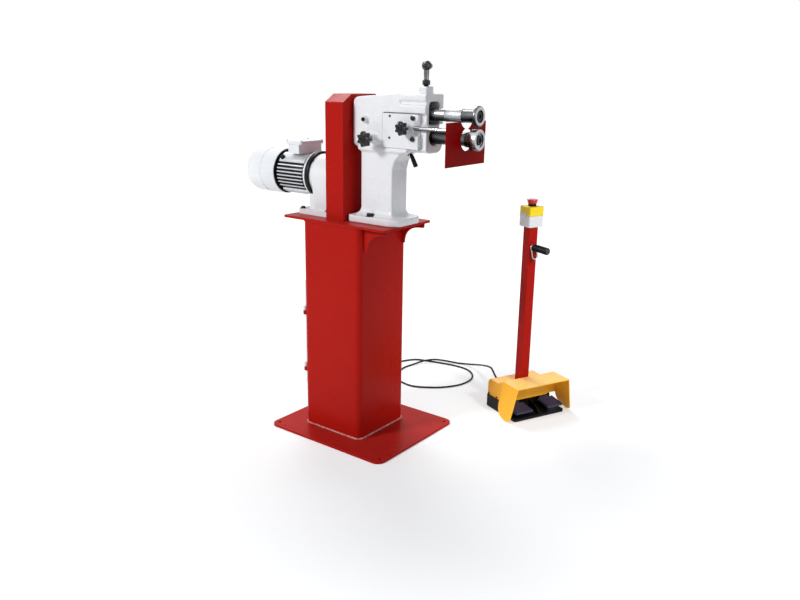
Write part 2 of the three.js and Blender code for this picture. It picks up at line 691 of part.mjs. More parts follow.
function gearShape(teeth, modulus, phase) {
  const pitch = (teeth * modulus) / 2;
  const pressure = THREE.MathUtils.degToRad(20);
  const base = pitch * Math.cos(pressure);
  const halfAtPitch = (Math.PI * modulus) / 4 - gearBacklash / 4;
  const root = pitch - 1.3 * modulus;
  const tip = pitch + 0.9 * modulus;
  const stations = [root, base, (base + tip) / 2, tip];
  const flank = stations.map((radius) => {
    const rolled = radius > base ? involute(Math.acos(base / radius)) : 0;
    return [radius, halfAtPitch / pitch + involute(pressure) - rolled];
  });
  const points = [];
  for (let i = 0; i < teeth; i += 1) {
    const centre = phase + (i / teeth) * Math.PI * 2;
    for (const [radius, half] of flank) {
      points.push([radius * Math.cos(centre - half), radius * Math.sin(centre - half)]);
    }
    for (const [radius, half] of [...flank].reverse()) {
      points.push([radius * Math.cos(centre + half), radius * Math.sin(centre + half)]);
    }
  }
  return polygon(points);
}

function makeGear(z, phase) {
  const gear = prism('x', gearShape(gearTeeth, gearModule, phase), gearRear, gearRear + gearWidth);
  const hole = drill('x', seatRadius + clearance, gearRear - 1, gearRear + gearWidth + 1, [0, 0, 0]);
  return cut(gear, hole).translate(0, 0, z);
}

// Chain and sprockets, one to one. A sprocket has a gap at each roller.

const chainRadius = chainPitch / (2 * Math.sin(Math.PI / chainTeeth));

function sprocketShape() {
  const gap = chainRoller + clearance;
  const tipRadius = chainRadius + 3.2;
  const points = [];
  for (let i = 0; i < chainTeeth; i += 1) {
    const centre = (i / chainTeeth) * Math.PI * 2;
    for (let k = -2; k <= 2; k += 1) {
      const angle = centre + Math.PI - (k * Math.PI) / 4.4;
      points.push([
        chainRadius * Math.cos(centre) + gap * Math.cos(angle),
        chainRadius * Math.sin(centre) + gap * Math.sin(angle),
      ]);
    }
    for (const share of [0.42, 0.58]) {
      const angle = centre + (share * Math.PI * 2) / chainTeeth;
      points.push([tipRadius * Math.cos(angle), tipRadius * Math.sin(angle)]);
    }
  }
  return polygon(points);
}

function makeSprocket(z, bore) {
  const teeth = prism('x', sprocketShape(), sprocket.x - sprocket.width / 2, sprocket.x + sprocket.width / 2);
  const halfHub = sprocket.hubLength / 2;
  const hub = bar('x', sprocket.hub, sprocket.x - halfHub, sprocket.x + halfHub, [0, 0, 0], facets.small);
  const hole = drill(
    'x', bore + clearance, sprocket.x - halfHub - 1, sprocket.x + halfHub + 1, [0, 0, 0], facets.medium,
  );
  return cut(join(teeth, hub), hole).translate(0, 0, z);
}

function racetrack(offset) {
  const path = new THREE.Shape();
  path.absarc(0, lowerAxis, chainRadius + offset, 0, Math.PI);
  path.absarc(0, outputAxis, chainRadius + offset, Math.PI, Math.PI * 2);
  return path;
}

function chainRollerPlaces() {
  const places = [];
  for (let i = 0; i <= chainTeeth / 2; i += 1) {
    const angle = (i / chainTeeth) * Math.PI * 2;
    const y = chainRadius * Math.cos(angle);
    const rise = chainRadius * Math.sin(angle);
    places.push([y, lowerAxis + rise], [y, outputAxis - rise]);
  }
  for (let i = 1; i < chainSpan; i += 1) {
    const z = outputAxis + i * chainPitch;
    places.push([chainRadius, z], [-chainRadius, z]);
  }
  return places;
}

function makeChain() {
  const inner = sprocket.x - chainPlate.gap / 2;
  const outer = sprocket.x + chainPlate.gap / 2;
  const sides = [[inner - chainPlate.thick, inner], [outer, outer + chainPlate.thick]].map(([from, to]) => {
    const band = racetrack(chainPlate.half);
    band.holes.push(racetrack(-chainPlate.half));
    return prism('x', band, from, to, 5);
  });
  const rollers = chainRollerPlaces().map(([y, z]) => bar('x', chainRoller, inner - 1, outer + 1, [0, y, z], 4));
  return join(...sides, ...rollers);
}

piece(group, 'drive_chain', makeChain(), darkSteel);

// Shafts, rolls and their bolts. A shaft ends in a nose that carries the roll.

function nose(shoulder, headFace) {
  const hole = rollBolt.stem + clearance;
  const holeEnd = headFace - rollBolt.stemLength;
  return [[noseRadius, shoulder], [noseRadius, headFace], [hole, headFace], [hole, holeEnd], [0, holeEnd]];
}

function makeShaft(rear, shaftStep, radius, front, z, collarSteps, rollFace) {
  return turned('x', [
    [0, rear],
    [seatRadius, rear],
    [seatRadius, shaftStep],
    [radius, shaftStep],
    [radius, front],
    ...collarSteps,
    ...nose(collarSteps.length > 0 ? collar.to : front, rollFace - rollBolt.sunk - clearance),
  ], [0, 0, z]);
}

function makeRollBolt(face, z) {
  const seatFace = face - rollBolt.sunk + clearance;
  const stemEnd = seatFace - rollBolt.stemLength + 2;
  const bolt = turned('x', [
    [0, stemEnd],
    [rollBolt.stem, stemEnd],
    [rollBolt.stem, seatFace],
    [rollBolt.head, seatFace],
    [rollBolt.head, face - 1.5],
    [rollBolt.head - 1, face - 0.5],
    [0, face - 0.5],
  ], [0, 0, z], facets.medium);
  return cut(bolt, hexBar('x', rollBolt.socket, seatFace + 1, face, [0, 0, z]));
}

function makeLowerRoll() {
  const { to, radius, width, recess, hub } = lowerRoll;
  const from = to - width;
  return ring('x', noseRadius + clearance, [
    [hub, collar.to + clearance],
    [hub, from],
    [radius - 1, from],
    [radius, from + 1],
    [radius, to - 1.5],
    [radius - 1.5, to],
    [recess, to],
    [recess, to - rollBolt.sunk],
  ], [0, 0, lowerAxis], facets.large);
}

function makeUpperRoll() {
  const { to, body, rim, rimWidth, flare, recess } = upperRoll;
  const rimRear = to - rimWidth;
  return ring('x', noseRadius + clearance, [
    [body, sleeve.to + clearance],
    [body, rimRear - flare],
    [body + 2.5, rimRear - flare * 0.55],
    [rim - 2, rimRear - 1],
    [rim, rimRear + 1],
    [rim, to - 3],
    [rim - 2.5, to],
    [recess, to],
    [recess, to - rollBolt.sunk],
  ], [0, 0, upperAxis], facets.large);
}

function makeBush(from, bore, z) {
  const outer = bore + clearance + bush.wall;
  return ring('x', bore + clearance, [[outer, from], [outer, from + bush.length]], [0, 0, z]);
}

const shaftStep = guard.front - 1.5;
const collarSteps = [[lowerShaftRadius, collar.from], [collar.radius, collar.from], [collar.radius, collar.to]];
const lowerShaft = makeShaft(
  lowerShaftRear, shaftStep, lowerShaftRadius, collar.from, lowerAxis, collarSteps, lowerRoll.to,
);
const upperShaft = makeShaft(
  gearRear - 4, shaftStep, upperShaftRadius, sleeve.to, upperAxis, [], upperRoll.to,
);
const lowerBush = makeBush(head.front - bush.length, lowerShaftRadius, lowerAxis);

piece(group, 'lower_front_bush', lowerBush, bronze);
piece(group, 'lower_shaft', lowerShaft, brightSteel);
piece(group, 'lower_gear', makeGear(lowerAxis, Math.PI / 2), darkSteel);
piece(group, 'driven_sprocket', makeSprocket(lowerAxis, seatRadius), darkSteel);
piece(group, 'lower_roll', makeLowerRoll(), brightSteel);
piece(group, 'lower_roll_bolt', makeRollBolt(lowerRoll.to, lowerAxis), darkSteel);

// Swing arm, which carries the upper shaft and tilts about its ball at the back

const padLow = upperAxis + screw.seatHeight + clearance;
const padTop = padLow + screw.padThick;

function makeSwingArm() {
  const { pivotX, ball, ballHalf, tube, front } = swing;
  const plainBore = upperShaftRadius + clearance;
  const bushBore = plainBore + bush.wall + clearance;
  const ballProfile = [-1, 0, 1].map((share) => {
    const along = share * ballHalf;
    return [Math.sqrt(ball * ball - along * along), pivotX + along];
  });
  const body = ring(
    'x', plainBore, [...ballProfile, [tube, pivotX + ballHalf], [tube, front]], [0, 0, upperAxis], facets.medium,
  );
  const padSeat = bar('z', screw.bossRadius, upperAxis, upperAxis + screw.seatHeight, [screw.x, 0, 0]);
  const shaftWay = drill('x', plainBore, pivotX - ballHalf - 1, front + 1, [0, 0, upperAxis], facets.medium);
  const bushSeat = drill(
    'x', bushBore, front - bush.length - clearance, front + 1, [0, 0, upperAxis], facets.medium,
  );
  return cut(join(body, padSeat), shaftWay, bushSeat);
}

function makeSleeve() {
  const { from, to, radius } = sleeve;
  return ring(
    'x', upperShaftRadius + clearance, [[radius, from], [radius, to]], [0, 0, upperAxis], facets.medium,
  );
}

const upperBush = makeBush(swing.front - bush.length, upperShaftRadius, upperAxis);

piece(group, 'swing_arm', makeSwingArm(), greyCast);
piece(group, 'upper_front_bush', upperBush, bronze);
piece(group, 'upper_shaft', upperShaft, brightSteel);
piece(group, 'upper_gear', makeGear(upperAxis, -Math.PI / 2 + Math.PI / gearTeeth), darkSteel);
piece(group, 'upper_sleeve', makeSleeve(), brightSteel);
piece(group, 'upper_roll', makeUpperRoll(), darkSteel);
piece(group, 'upper_roll_bolt', makeRollBolt(upperRoll.to, upperAxis), darkSteel);

// Pressure screw, with its pad, stop nut and tommy bar

function makeScrew() {
  const tip = padTop + clearance;
  const shank = turned('z', [
    [0, tip],
    [screw.tip, tip],
    [screw.radius, tip + 4],
    [screw.radius, stopNut.high + 3],
    [screw.neck, stopNut.high + 5],
    [screw.neck, hubTop - hubBall.radius + 2],
    [0, hubTop - hubBall.radius + 2],
  ], [screw.x, 0, 0], facets.small);
  const ball = new THREE.SphereGeometry(hubBall.radius, 14, 8).rotateX(Math.PI / 2);
  ball.translate(screw.x, 0, hubTop);
  const hole = drill(
    'x', tommyBar.radius + clearance, -2 * hubBall.radius, 2 * hubBall.radius, [0, 0, 0], facets.small,
  );
  hole.rotateZ(THREE.MathUtils.degToRad(tommyBar.heading)).translate(screw.x, 0, hubTop);
  return cut(join(shank, ball), hole);
}

function makeStopNut() {
  const nut = hexBar('z', stopNut.across, stopNut.low, stopNut.high, [screw.x, 0, 0]);
  const hole = drill(
    'z', screw.radius + clearance, stopNut.low - 1, stopNut.high + 1, [screw.x, 0, 0], facets.small,
  );
  return cut(nut, hole);
}

function makeTommyBar() {
  const near = new THREE.SphereGeometry(tommyBar.knob, 10, 6).translate(-tommyBar.near, 0, 0);
  const far = new THREE.SphereGeometry(tommyBar.knob, 10, 6).translate(tommyBar.far, 0, 0);
  return join(bar('x', tommyBar.radius, -tommyBar.near, tommyBar.far, [0, 0, 0], facets.small), near, far);
}

piece(group, 'thrust_pad', bar('z', screw.padRadius, padLow, padTop, [screw.x, 0, 0]), darkSteel);
piece(group, 'pressure_screw', makeScrew(), darkSteel);
piece(group, 'stop_nut', makeStopNut(), darkSteel);
const tommyBarMesh = piece(group, 'tommy_bar', makeTommyBar(), blackPlastic);
tommyBarMesh.position.set(screw.x, 0, hubTop);
tommyBarMesh.rotation.z = THREE.MathUtils.degToRad(tommyBar.heading);

// Lock lever under the head, drawn hanging down and then leaned forward

function makeLever() {
  const eye = bar('y', lever.eye, -lever.eyeWidth / 2, lever.eyeWidth / 2, [0, 0, 0], facets.small);
  const stem = bar('z', lever.rod, -lever.to, 0, [0, 0, 0], facets.small);
  const sleeveProfile = [
    [0, -lever.to],
    [lever.grip - 1, -lever.to],
    [lever.grip, -lever.to + 1.5],
    [lever.grip - 0.8, -lever.from],
    [0, -lever.from],
  ];
  const pinHole = drill('y', lever.pin + clearance, -lever.eyeWidth, lever.eyeWidth, [0, 0, 0], facets.small);
  return cut(join(eye, stem, turned('z', sleeveProfile, [0, 0, 0], facets.small)), pinHole);
}

const leverMesh = piece(group, 'lock_lever', makeLever(), blackPlastic);
leverMesh.position.set(lever.x, lever.y, lever.z);
leverMesh.rotation.y = -THREE.MathUtils.degToRad(lever.lean);

// Geared motor behind the guard

function makeGearbox() {
  const { rear, flangeFront, front, flange, body, hub, hubFront } = gearbox;
  const { leg, waist, half, thick, corner, legTop } = gearboxFoot;
  const axisPlace = [0, 0, outputAxis];
  const footShape = roundedRect(gearboxFoot.rear, gearboxFoot.front, -half, half, corner);
  const caseShape = new THREE.Shape();
  caseShape.moveTo(-waist, seat + 1);
  caseShape.lineTo(waist, seat + 1);
  caseShape.lineTo(body, outputAxis - body * 0.6);
  caseShape.absarc(0, outputAxis, body, 0, Math.PI);
  caseShape.lineTo(-body, outputAxis - body * 0.6);
  const legRear = rear + 3;
  const legBlock = block(legRear, legRear + leg, -waist + 6, waist - 6, seat + 1, outputAxis - legTop);
  const web = block(legRear, front - 10, -waist / 2, waist / 2, seat + 1, outputAxis);
  const solid = join(
    bar('x', flange, rear, flangeFront, axisPlace, facets.large),
    prism('x', caseShape, legRear + leg + 10, front, 14),
    bar('x', body, flangeFront - 1, front - 10, axisPlace, facets.large),
    prism('z', footShape, seat, seat + thick, 4),
    legBlock,
    web,
    bar('x', hub, front - 1, hubFront, axisPlace, facets.medium),
  );
  const outputBore = drill('x', output.radius + clearance, output.rear - clearance, hubFront + 1, axisPlace);
  const inputBore = drill('x', rotor.shaft + clearance, rear - 1, rotor.front + clearance, axisPlace);
  return cut(solid, outputBore, inputBore);
}

function makeStator() {
  const { rear, front, core, tip, bore, shield, finPitch, finThick } = stator;
  const fins = [];
  for (let k = -3.5; k <= 3.5; k += 1) {
    const at = k * finPitch;
    fins.push(block(rear + shield, front - shield, -tip, tip, at - finThick / 2, at + finThick / 2));
    fins.push(block(rear + shield, front - shield, at - finThick / 2, at + finThick / 2, -tip, 0));
  }
  const crown = block(rear + shield, front - shield, -box.half, box.half, core / 2, tip);
  const round = common(join(...fins, crown), bar('x', tip, rear, front, [0, 0, 0], facets.large));
  const shields = [[rear, rear + shield], [front - shield, front - clearance]].map(([from, to]) => (
    bar('x', core + 6, from, to, [0, 0, 0], facets.large)
  ));
  const middle = bar('x', core, rear + 1, front - 1, [0, 0, 0], facets.large);
  const body = join(round, ...shields, middle);
  const flat = block(rear, front, -tip, tip, box.low - clearance, tip + 1);
  const hollow = drill('x', bore, rotor.coreFrom - 12, rotor.coreTo + 8, [0, 0, 0], facets.medium);
  const shaftWay = drill('x', rotor.shaft + clearance, rear - 1, front + 1, [0, 0, 0]);
  return cut(body, flat, hollow, shaftWay).translate(0, 0, outputAxis);
}

function makeCowl() {
  const { rear, shoulder, front, radius, wall, rimThick } = cowl;
  const { count, pitch, width, reach } = cowlVents;
  const domeSteps = 4;
  const dome = (inset) => {
    const points = [];
    for (let i = 0; i <= domeSteps; i += 1) {
      const angle = (i / domeSteps) * (Math.PI / 2);
      const depth = shoulder - rear - inset;
      points.push([(radius - inset) * Math.sin(angle), shoulder - depth * Math.cos(angle)]);
    }
    return points;
  };
  const shell = turned('x', [
    ...dome(0),
    [radius, front - clearance],
    [radius - wall, front - clearance],
    ...dome(wall).reverse(),
  ], [0, 0, 0], facets.large);
  const rim = ring('x', stator.core, [
    [radius - 1, front - clearance - rimThick],
    [radius - 1, front - clearance],
  ], [0, 0, 0], facets.large);
  const vents = [];
  for (let k = 0; k < count; k += 1) {
    const z = (k - (count - 1) / 2) * pitch;
    const half = Math.sqrt(radius * radius * 0.5 - z * z);
    vents.push(block(rear - 1, shoulder - reach, -half, half, z - width / 2, z + width / 2));
  }
  const ribs = cut(shell, ...vents);
  return join(ribs, rim).translate(0, 0, outputAxis);
}

function makeRotor() {
  const { shaft, core, coreFrom, coreTo, rear, front } = rotor;
  return turned('x', [
    [0, rear],
    [shaft, rear],
    [shaft, coreFrom],
    [core, coreFrom],
    [core, coreTo],
    [shaft, coreTo],
    [shaft, front],
    [0, front],
  ], [0, 0, outputAxis]);
}

function makeFan() {
  const { from, to, radius, hub, blades, bladeThick } = fan;
  const middle = (from + to) / 2;
  const parts = [bar('x', hub, from, to, [0, 0, 0]), bar('x', radius, to - 3, to, [0, 0, 0], facets.medium)];
  for (let i = 0; i < blades; i += 1) {
    const blade = block(from, to, -bladeThick / 2, bladeThick / 2, hub - 2, radius);
    parts.push(blade.translate(-middle, 0, 0).rotateX((i / blades) * Math.PI * 2).translate(middle, 0, 0));
  }
  const hole = drill('x', rotor.shaft + clearance, from - 1, to + 1, [0, 0, 0]);
  return cut(join(...parts), hole).translate(0, 0, outputAxis);
}

function makeTerminalBox() {
  const { from, to, half, low, split, wall } = box;
  const shell = block(from, to, -half, half, low, split - clearance);
  const hollow = block(from + wall, to - wall, -half + wall, half - wall, low + wall, split);
  return cut(shell, hollow).translate(0, 0, outputAxis);
}

function makeTerminalLid() {
  const { from, to, half, high, corner, plan } = boxLid;
  const side = roundedRect(from, to, box.split, high, [corner, corner, 1, 1]);
  const end = roundedRect(-half, half, box.split, high, [corner, corner, 1, 1]);
  return common(
    prism('y', side, -half, half, 3),
    prism('x', end, from, to, 3),
    prism('z', roundedRect(from, to, -half, half, plan), box.split, high, 4),
  ).translate(0, 0, outputAxis);
}

const outputShaft = bar('x', output.radius, output.rear, output.front, [0, 0, outputAxis], facets.medium);

piece(group, 'gearbox_housing', makeGearbox(), paleGrey);
piece(group, 'motor_housing', makeStator(), finnedAlloy);
piece(group, 'fan_cowl', makeCowl(), paleGrey);
piece(group, 'terminal_box', makeTerminalBox(), paleGrey);
piece(group, 'terminal_box_lid', makeTerminalLid(), paleGrey);
piece(group, 'output_shaft', outputShaft, brightSteel);
piece(group, 'drive_sprocket', makeSprocket(outputAxis, output.radius), darkSteel);
piece(group, 'rotor', makeRotor(), brightSteel);
piece(group, 'cooling_fan', makeFan(), blackPlastic);

// Foot console: along its own x (a) to the front and its own y (b) across

function makePedalBase() {
  const { rear, front, near, far, high, step, tray, corner } = pedalBase;
  const plate = prism('z', roundedRect(rear, front, near, far, corner), 0, tray, 3);
  const rearBlock = prism('z', roundedRect(rear, step, near, far, [1, corner, corner, 1]), 0, high, 3);
  const ears = Object.values(pedalSpans).flatMap(([from, to]) => {
    const first = from + pedalEar.inset;
    const last = to - pedalEar.inset;
    const reach = pedal.pivotA + pedalEar.pin + pedalEar.ahead;
    const low = pedal.pivotZ - pedalEar.below;
    const top = pedal.pivotZ + pedalEar.above;
    return [
      block(step - 1, reach, first, first + pedalEar.width, low, top),
      block(step - 1, reach, last - pedalEar.width, last, low, top),
      bar('y', pedalEar.pin, first + 1, last - 1, [pedal.pivotA, 0, pedal.pivotZ], facets.small),
    ];
  });
  return join(plate, rearBlock, ...ears);
}

function makePedal([from, to]) {
  const { pivotA, pivotZ, barrel, thick, top } = pedal;
  const plateLow = top - thick;
  const first = from + pedalEar.inset + pedalEar.width + clearance;
  const last = to - pedalEar.inset - pedalEar.width - clearance;
  const plate = prism('y', roundedRect(pedal.from - pivotA, pedal.to - pivotA, plateLow, top, 2), from, to, 3);
  const tongue = block(0, pedal.from - pivotA + 4, first, last, plateLow, top - 1);
  const knuckle = bar('y', barrel, first, last, [0, 0, 0], facets.small);
  const pinHole = drill('y', pedalEar.pin + clearance, first - 1, last + 1, [0, 0, 0], facets.small);
  const flat = cut(join(plate, tongue, knuckle), pinHole);
  flat.rotateY(THREE.MathUtils.degToRad(pedal.slope));
  return flat.translate(pivotA, 0, pivotZ);
}

function housingProfile(inset) {
  const low = inset > 0 ? hoodLow - 1 : hoodLow;
  const { rear, rearTop, top } = hood;
  const { rampFrom, rampTo, a } = hoodWall;
  return polygon([
    [rear + inset, low],
    [a - inset, low],
    [a - inset, top - inset],
    [rampTo, top - inset],
    [rampFrom, rearTop - inset],
    [rear + inset + hoodBack.lean, rearTop - inset],
    [rear + inset, rearTop - inset - hoodBack.drop],
  ]);
}

// A side wing hangs from the hood's edge and leans outwards towards the floor
function makeWing(side) {
  const shape = new THREE.Shape();
  const { low, rear, front, corner, half } = wing;
  shape.moveTo(hoodWall.a - hood.sheet, hood.frontTop);
  shape.lineTo(hoodWall.a - hood.sheet, hoodLow);
  shape.lineTo(rear - corner, low + corner);
  shape.quadraticCurveTo(rear, low, rear + corner, low);
  shape.quadraticCurveTo(front - 1, low, front, low + corner);
  shape.lineTo(hood.front, hood.frontTop);
  const flat = side > 0
    ? prism('y', shape, half - hood.sheet, half, 4)
    : prism('y', shape, -half, -half + hood.sheet, 4);
  const lean = side * wingLean;
  const shear = new THREE.Matrix4().set(1, 0, 0, 0, 0, 1, -lean, lean * hood.frontTop, 0, 0, 1, 0, 0, 0, 0, 1);
  return flat.applyMatrix4(shear);
}

function makeHood() {
  const { near, far, sheet, top, frontTop, front } = hood;
  const housing = cut(
    prism('y', housingProfile(0), near, far),
    prism('y', housingProfile(sheet), near + sheet, far - sheet),
  );
  const wallRear = hoodWall.a - sheet;
  const visor = block(wallRear, front, -wing.half, wing.half, frontTop - sheet, frontTop);
  const wallTop = frontTop - 1;
  const reach = (z) => wing.half - sheet / 2 + wingLean * (frontTop - z); // to the middle of the leaning wing
  const bulkhead = prism('x', polygon([
    [-reach(hoodWall.low), hoodWall.low],
    [reach(hoodWall.low), hoodWall.low],
    [reach(wallTop), wallTop],
    [-reach(wallTop), wallTop],
  ]), wallRear, hoodWall.a);
  const hole = post.size / 2 + 5 * clearance;
  const postHole = block(
    post.a - hole, post.a + hole, post.b - hole, post.b + hole, hood.rearTop - 20, top + 10,
  );
  return cut(join(housing, visor, bulkhead, makeWing(-1), makeWing(1)), postHole);
}

function makePost() {
  const half = post.size / 2;
  const inside = half - post.wall;
  const shape = roundedRect(post.a - half, post.a + half, post.b - half, post.b + half, post.corner);
  const bore = post.corner - post.wall;
  shape.holes.push(roundedRect(post.a - inside, post.a + inside, post.b - inside, post.b + inside, bore));
  return prism('z', shape, pedalBase.high + clearance, post.top - clearance, 3);
}

// The divider is a flat plate on edge, curving down to the front
function makeDivider() {
  const { b, thick, rear, high, front, low, toe, bow, ease } = divider;
  const shape = new THREE.Shape();
  const foot0 = pedalBase.tray + clearance;
  shape.moveTo(rear, foot0);
  shape.lineTo(front - toe, foot0);
  shape.quadraticCurveTo(front, foot0, front, low);
  shape.quadraticCurveTo(front - bow, high - ease, rear, high);
  return prism('y', shape, b - thick / 2, b + thick / 2, 8);
}

function makeEstopBox() {
  const half = estop.size / 2;
  const { corner, wall, split } = estop;
  const outer = roundedRect(post.a - half, post.a + half, post.b - half, post.b + half, corner);
  const inner = half - wall;
  const hollow = roundedRect(post.a - inner, post.a + inner, post.b - inner, post.b + inner, corner - wall);
  return cut(
    prism('z', outer, post.top, split - clearance, 4),
    prism('z', hollow, post.top + wall, split + 1, 4),
  );
}

function makeEstopLid() {
  const half = estop.size / 2;
  const { corner, split, top, collar: collarRadius, collarHigh } = estop;
  const outer = roundedRect(post.a - half, post.a + half, post.b - half, post.b + half, corner);
  const place = [post.a, post.b, 0];
  const body = join(
    prism('z', outer, split, top, 4),
    bar('z', collarRadius, top - 1, top + collarHigh, place, facets.medium),
  );
  return cut(body, drill('z', button.stem + clearance, split - 1, top + collarHigh + 1, place, facets.small));
}

function makeButton() {
  const { top, cap, capHigh, stem, stemLow } = button;
  return turned('z', [
    [0, stemLow],
    [stem, stemLow],
    [stem, top - capHigh],
    [cap * 0.8, top - capHigh],
    [cap, top - capHigh * 0.55],
    [cap, top - capHigh * 0.3],
    [cap * 0.85, top],
    [0, top],
  ], [post.a, post.b, 0], facets.medium);
}

const postFace = post.a + post.size / 2 + clearance;

function makeGripBracket() {
  const { core, cap } = grip;
  const { low, high, half, eye, corner, eyeCorner, gap } = gripLoop;
  const shape = roundedRect(post.b - half, post.b + half, low, high, corner);
  const eyeTop = grip.z - grip.radius - gap;
  shape.holes.push(roundedRect(post.b - eye, post.b + eye, low + half - eye, eyeTop, eyeCorner));
  const plate = prism('x', shape, postFace, grip.from - clearance, 3);
  const place = [0, post.b, grip.z];
  const rod = bar('x', core, postFace + 1, grip.to + 2, place, facets.small);
  const endCap = bar('x', cap, grip.to + clearance, grip.to + 4, place, facets.small);
  return join(plate, rod, endCap);
}

function makeGripSleeve() {
  const { from, to, radius, core } = grip;
  return ring('x', core + clearance, [
    [radius - 2, from],
    [radius, from + 2],
    [radius, to - 2],
    [radius - 2, to],
  ], [0, post.b, grip.z], facets.medium);
}

piece(footConsole, 'pedal_base', makePedalBase(), blackPlastic);
piece(footConsole, 'pedal_left', makePedal(pedalSpans.left), blueBlack);
piece(footConsole, 'pedal_right', makePedal(pedalSpans.right), blueBlack);
piece(footConsole, 'pedal_divider', makeDivider(), brightSteel);
piece(footConsole, 'pedal_hood', makeHood(), yellowShell);
piece(footConsole, 'pedal_post', makePost(), redPaint);
piece(footConsole, 'estop_box', makeEstopBox(), paleGrey);
piece(footConsole, 'estop_lid', makeEstopLid(), yellowLid);
piece(footConsole, 'estop_button', makeButton(), redButton);
piece(footConsole, 'grip_bracket', makeGripBracket(), chrome);
piece(footConsole, 'grip_sleeve', makeGripSleeve(), blackPlastic);

// Glands, drawn along y from the wall they stand on, and the control cord between them

function makeGland(stemLength) {
  return join(
    hexBar('y', gland.hex, 0, gland.hexThick, [0, 0, 0]),
    turned('y', [
      [0, -stemLength],
      [gland.stem, -stemLength],
      [gland.stem, 1],
      [gland.radius, 1],
      [gland.radius, gland.length - 6],
      [gland.radius - 3.5, gland.length],
      [0, gland.length],
    ], [0, 0, 0], facets.small),
  );
}

const columnGland = piece(group, 'control_gland', makeGland(column.wall + 2), blackPlastic);
columnGland.position.set(controlGland.x, columnHalf + clearance, controlGland.z);
const rearGland = piece(footConsole, 'console_gland', makeGland(0), blackPlastic);
rearGland.position.set(hood.rear - clearance, consoleGland.b, consoleGland.z);
rearGland.rotation.z = Math.PI / 2;

const cordPoints = [
  [-110, 147.6, 70],
  [-110, 158, 69.6],
  [-118, 202, 50],
  [-134, 233, 28],
  [-155, 265, 11],
  [-185, 302, 5],
  [-255, 410, 4],
  [-285, 530, 4],
  [-273, 599, 4],
  [-239, 655, 4],
  [-185, 676, 4],
  [-130, 690, 4],
  [-60, 702, 4],
  [-4, 698, 4],
  [35, 677, 4],
  [58, 653, 4],
  [76, 617, 4],
  [81, 565, 4],
  [69, 516, 4],
  [39, 468, 4],
  [6, 436, 4],
  [-64, 397, 4],
  [-126, 403, 4],
  [-180, 432, 4],
  [-218, 540, 4],
  [-210, 600, 5],
  [-190, 650, 11],
  [-160, 683, 14.5],
  [-122, 712, 10],
  [-70, 736, 4.5],
  [-20, 742, 9.5],
  [30, 722, 25],
  [78, 680, 47],
  [130, 622, 74],
  [180, 570, 97],
  [215, 537.5, 106.5],
  [238, 517.5, 98],
  [249, 510, 91],
  [257.6, 505.8, 87.2],
  [266.9, 501.6, 85],
].map((point) => new THREE.Vector3(...point));

function makeCord() {
  const section = new THREE.Shape();
  for (let i = 0; i < cord.sides; i += 1) {
    const angle = ((i + 0.5) / cord.sides) * Math.PI * 2;
    const point = [cord.radius * Math.cos(angle), cord.radius * Math.sin(angle)];
    if (i === 0) section.moveTo(...point);
    else section.lineTo(...point);
  }
  const extrudePath = new THREE.CatmullRomCurve3(cordPoints, false, 'centripetal');
  return new THREE.ExtrudeGeometry(section, { steps: cord.steps, extrudePath, bevelEnabled: false });
}

piece(group, 'control_cord', makeCord(), blackPlastic);

export default group;
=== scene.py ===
import bmesh
import bpy
import math
from mathutils import Matrix, Vector


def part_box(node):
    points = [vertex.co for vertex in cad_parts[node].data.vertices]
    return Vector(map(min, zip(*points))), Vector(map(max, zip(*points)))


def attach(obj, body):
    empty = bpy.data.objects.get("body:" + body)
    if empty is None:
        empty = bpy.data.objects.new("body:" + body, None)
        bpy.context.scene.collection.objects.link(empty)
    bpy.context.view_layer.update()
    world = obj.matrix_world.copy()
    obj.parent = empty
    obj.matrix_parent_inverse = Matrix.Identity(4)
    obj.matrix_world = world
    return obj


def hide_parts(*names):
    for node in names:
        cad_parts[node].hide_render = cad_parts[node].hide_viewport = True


# Motor-driven bead roller on its stand, with the foot console beside it.
# Sizes below are in millimetres and degrees; mm turns them into Blender's metres.

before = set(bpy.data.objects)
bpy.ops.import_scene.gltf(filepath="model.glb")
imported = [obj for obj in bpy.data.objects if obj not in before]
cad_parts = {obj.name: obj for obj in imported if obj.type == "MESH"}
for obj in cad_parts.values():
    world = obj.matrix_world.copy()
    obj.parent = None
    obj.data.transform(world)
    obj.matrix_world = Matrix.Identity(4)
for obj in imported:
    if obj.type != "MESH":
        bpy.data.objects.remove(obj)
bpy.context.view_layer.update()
mm = 0.001

# Camera

view = {"place": (1679, -2021, 1215), "focal": 789.73, "yaw": 126.912, "down": 15.908, "roll": -0.9346}


def makeCamera():
    yaw, down, roll = (math.radians(view[key]) for key in ("yaw", "down", "roll"))
    forward = Vector((math.cos(yaw) * math.cos(down), math.sin(yaw) * math.cos(down), -math.sin(down)))
    level = Vector((math.sin(yaw), -math.cos(yaw), 0))
    below = forward.cross(level)
    right = level * math.cos(roll) + below * math.sin(roll)
    lower = below * math.cos(roll) - level * math.sin(roll)
    data = bpy.data.cameras.new("camera")
    data.sensor_width = 36
    data.lens = view["focal"] * data.sensor_width / 800
    data.clip_end = 60
    camera = bpy.data.objects.new("camera", data)
    turn = Matrix((right, -lower, -forward)).transposed().to_4x4()
    camera.matrix_world = Matrix.Translation(Vector(view["place"]) * mm) @ turn
    bpy.context.scene.collection.objects.link(camera)
    bpy.context.scene.camera = camera


makeCamera()
print("camera placed")

# Control cord: from the column's gland, over the floor, to the console's gland

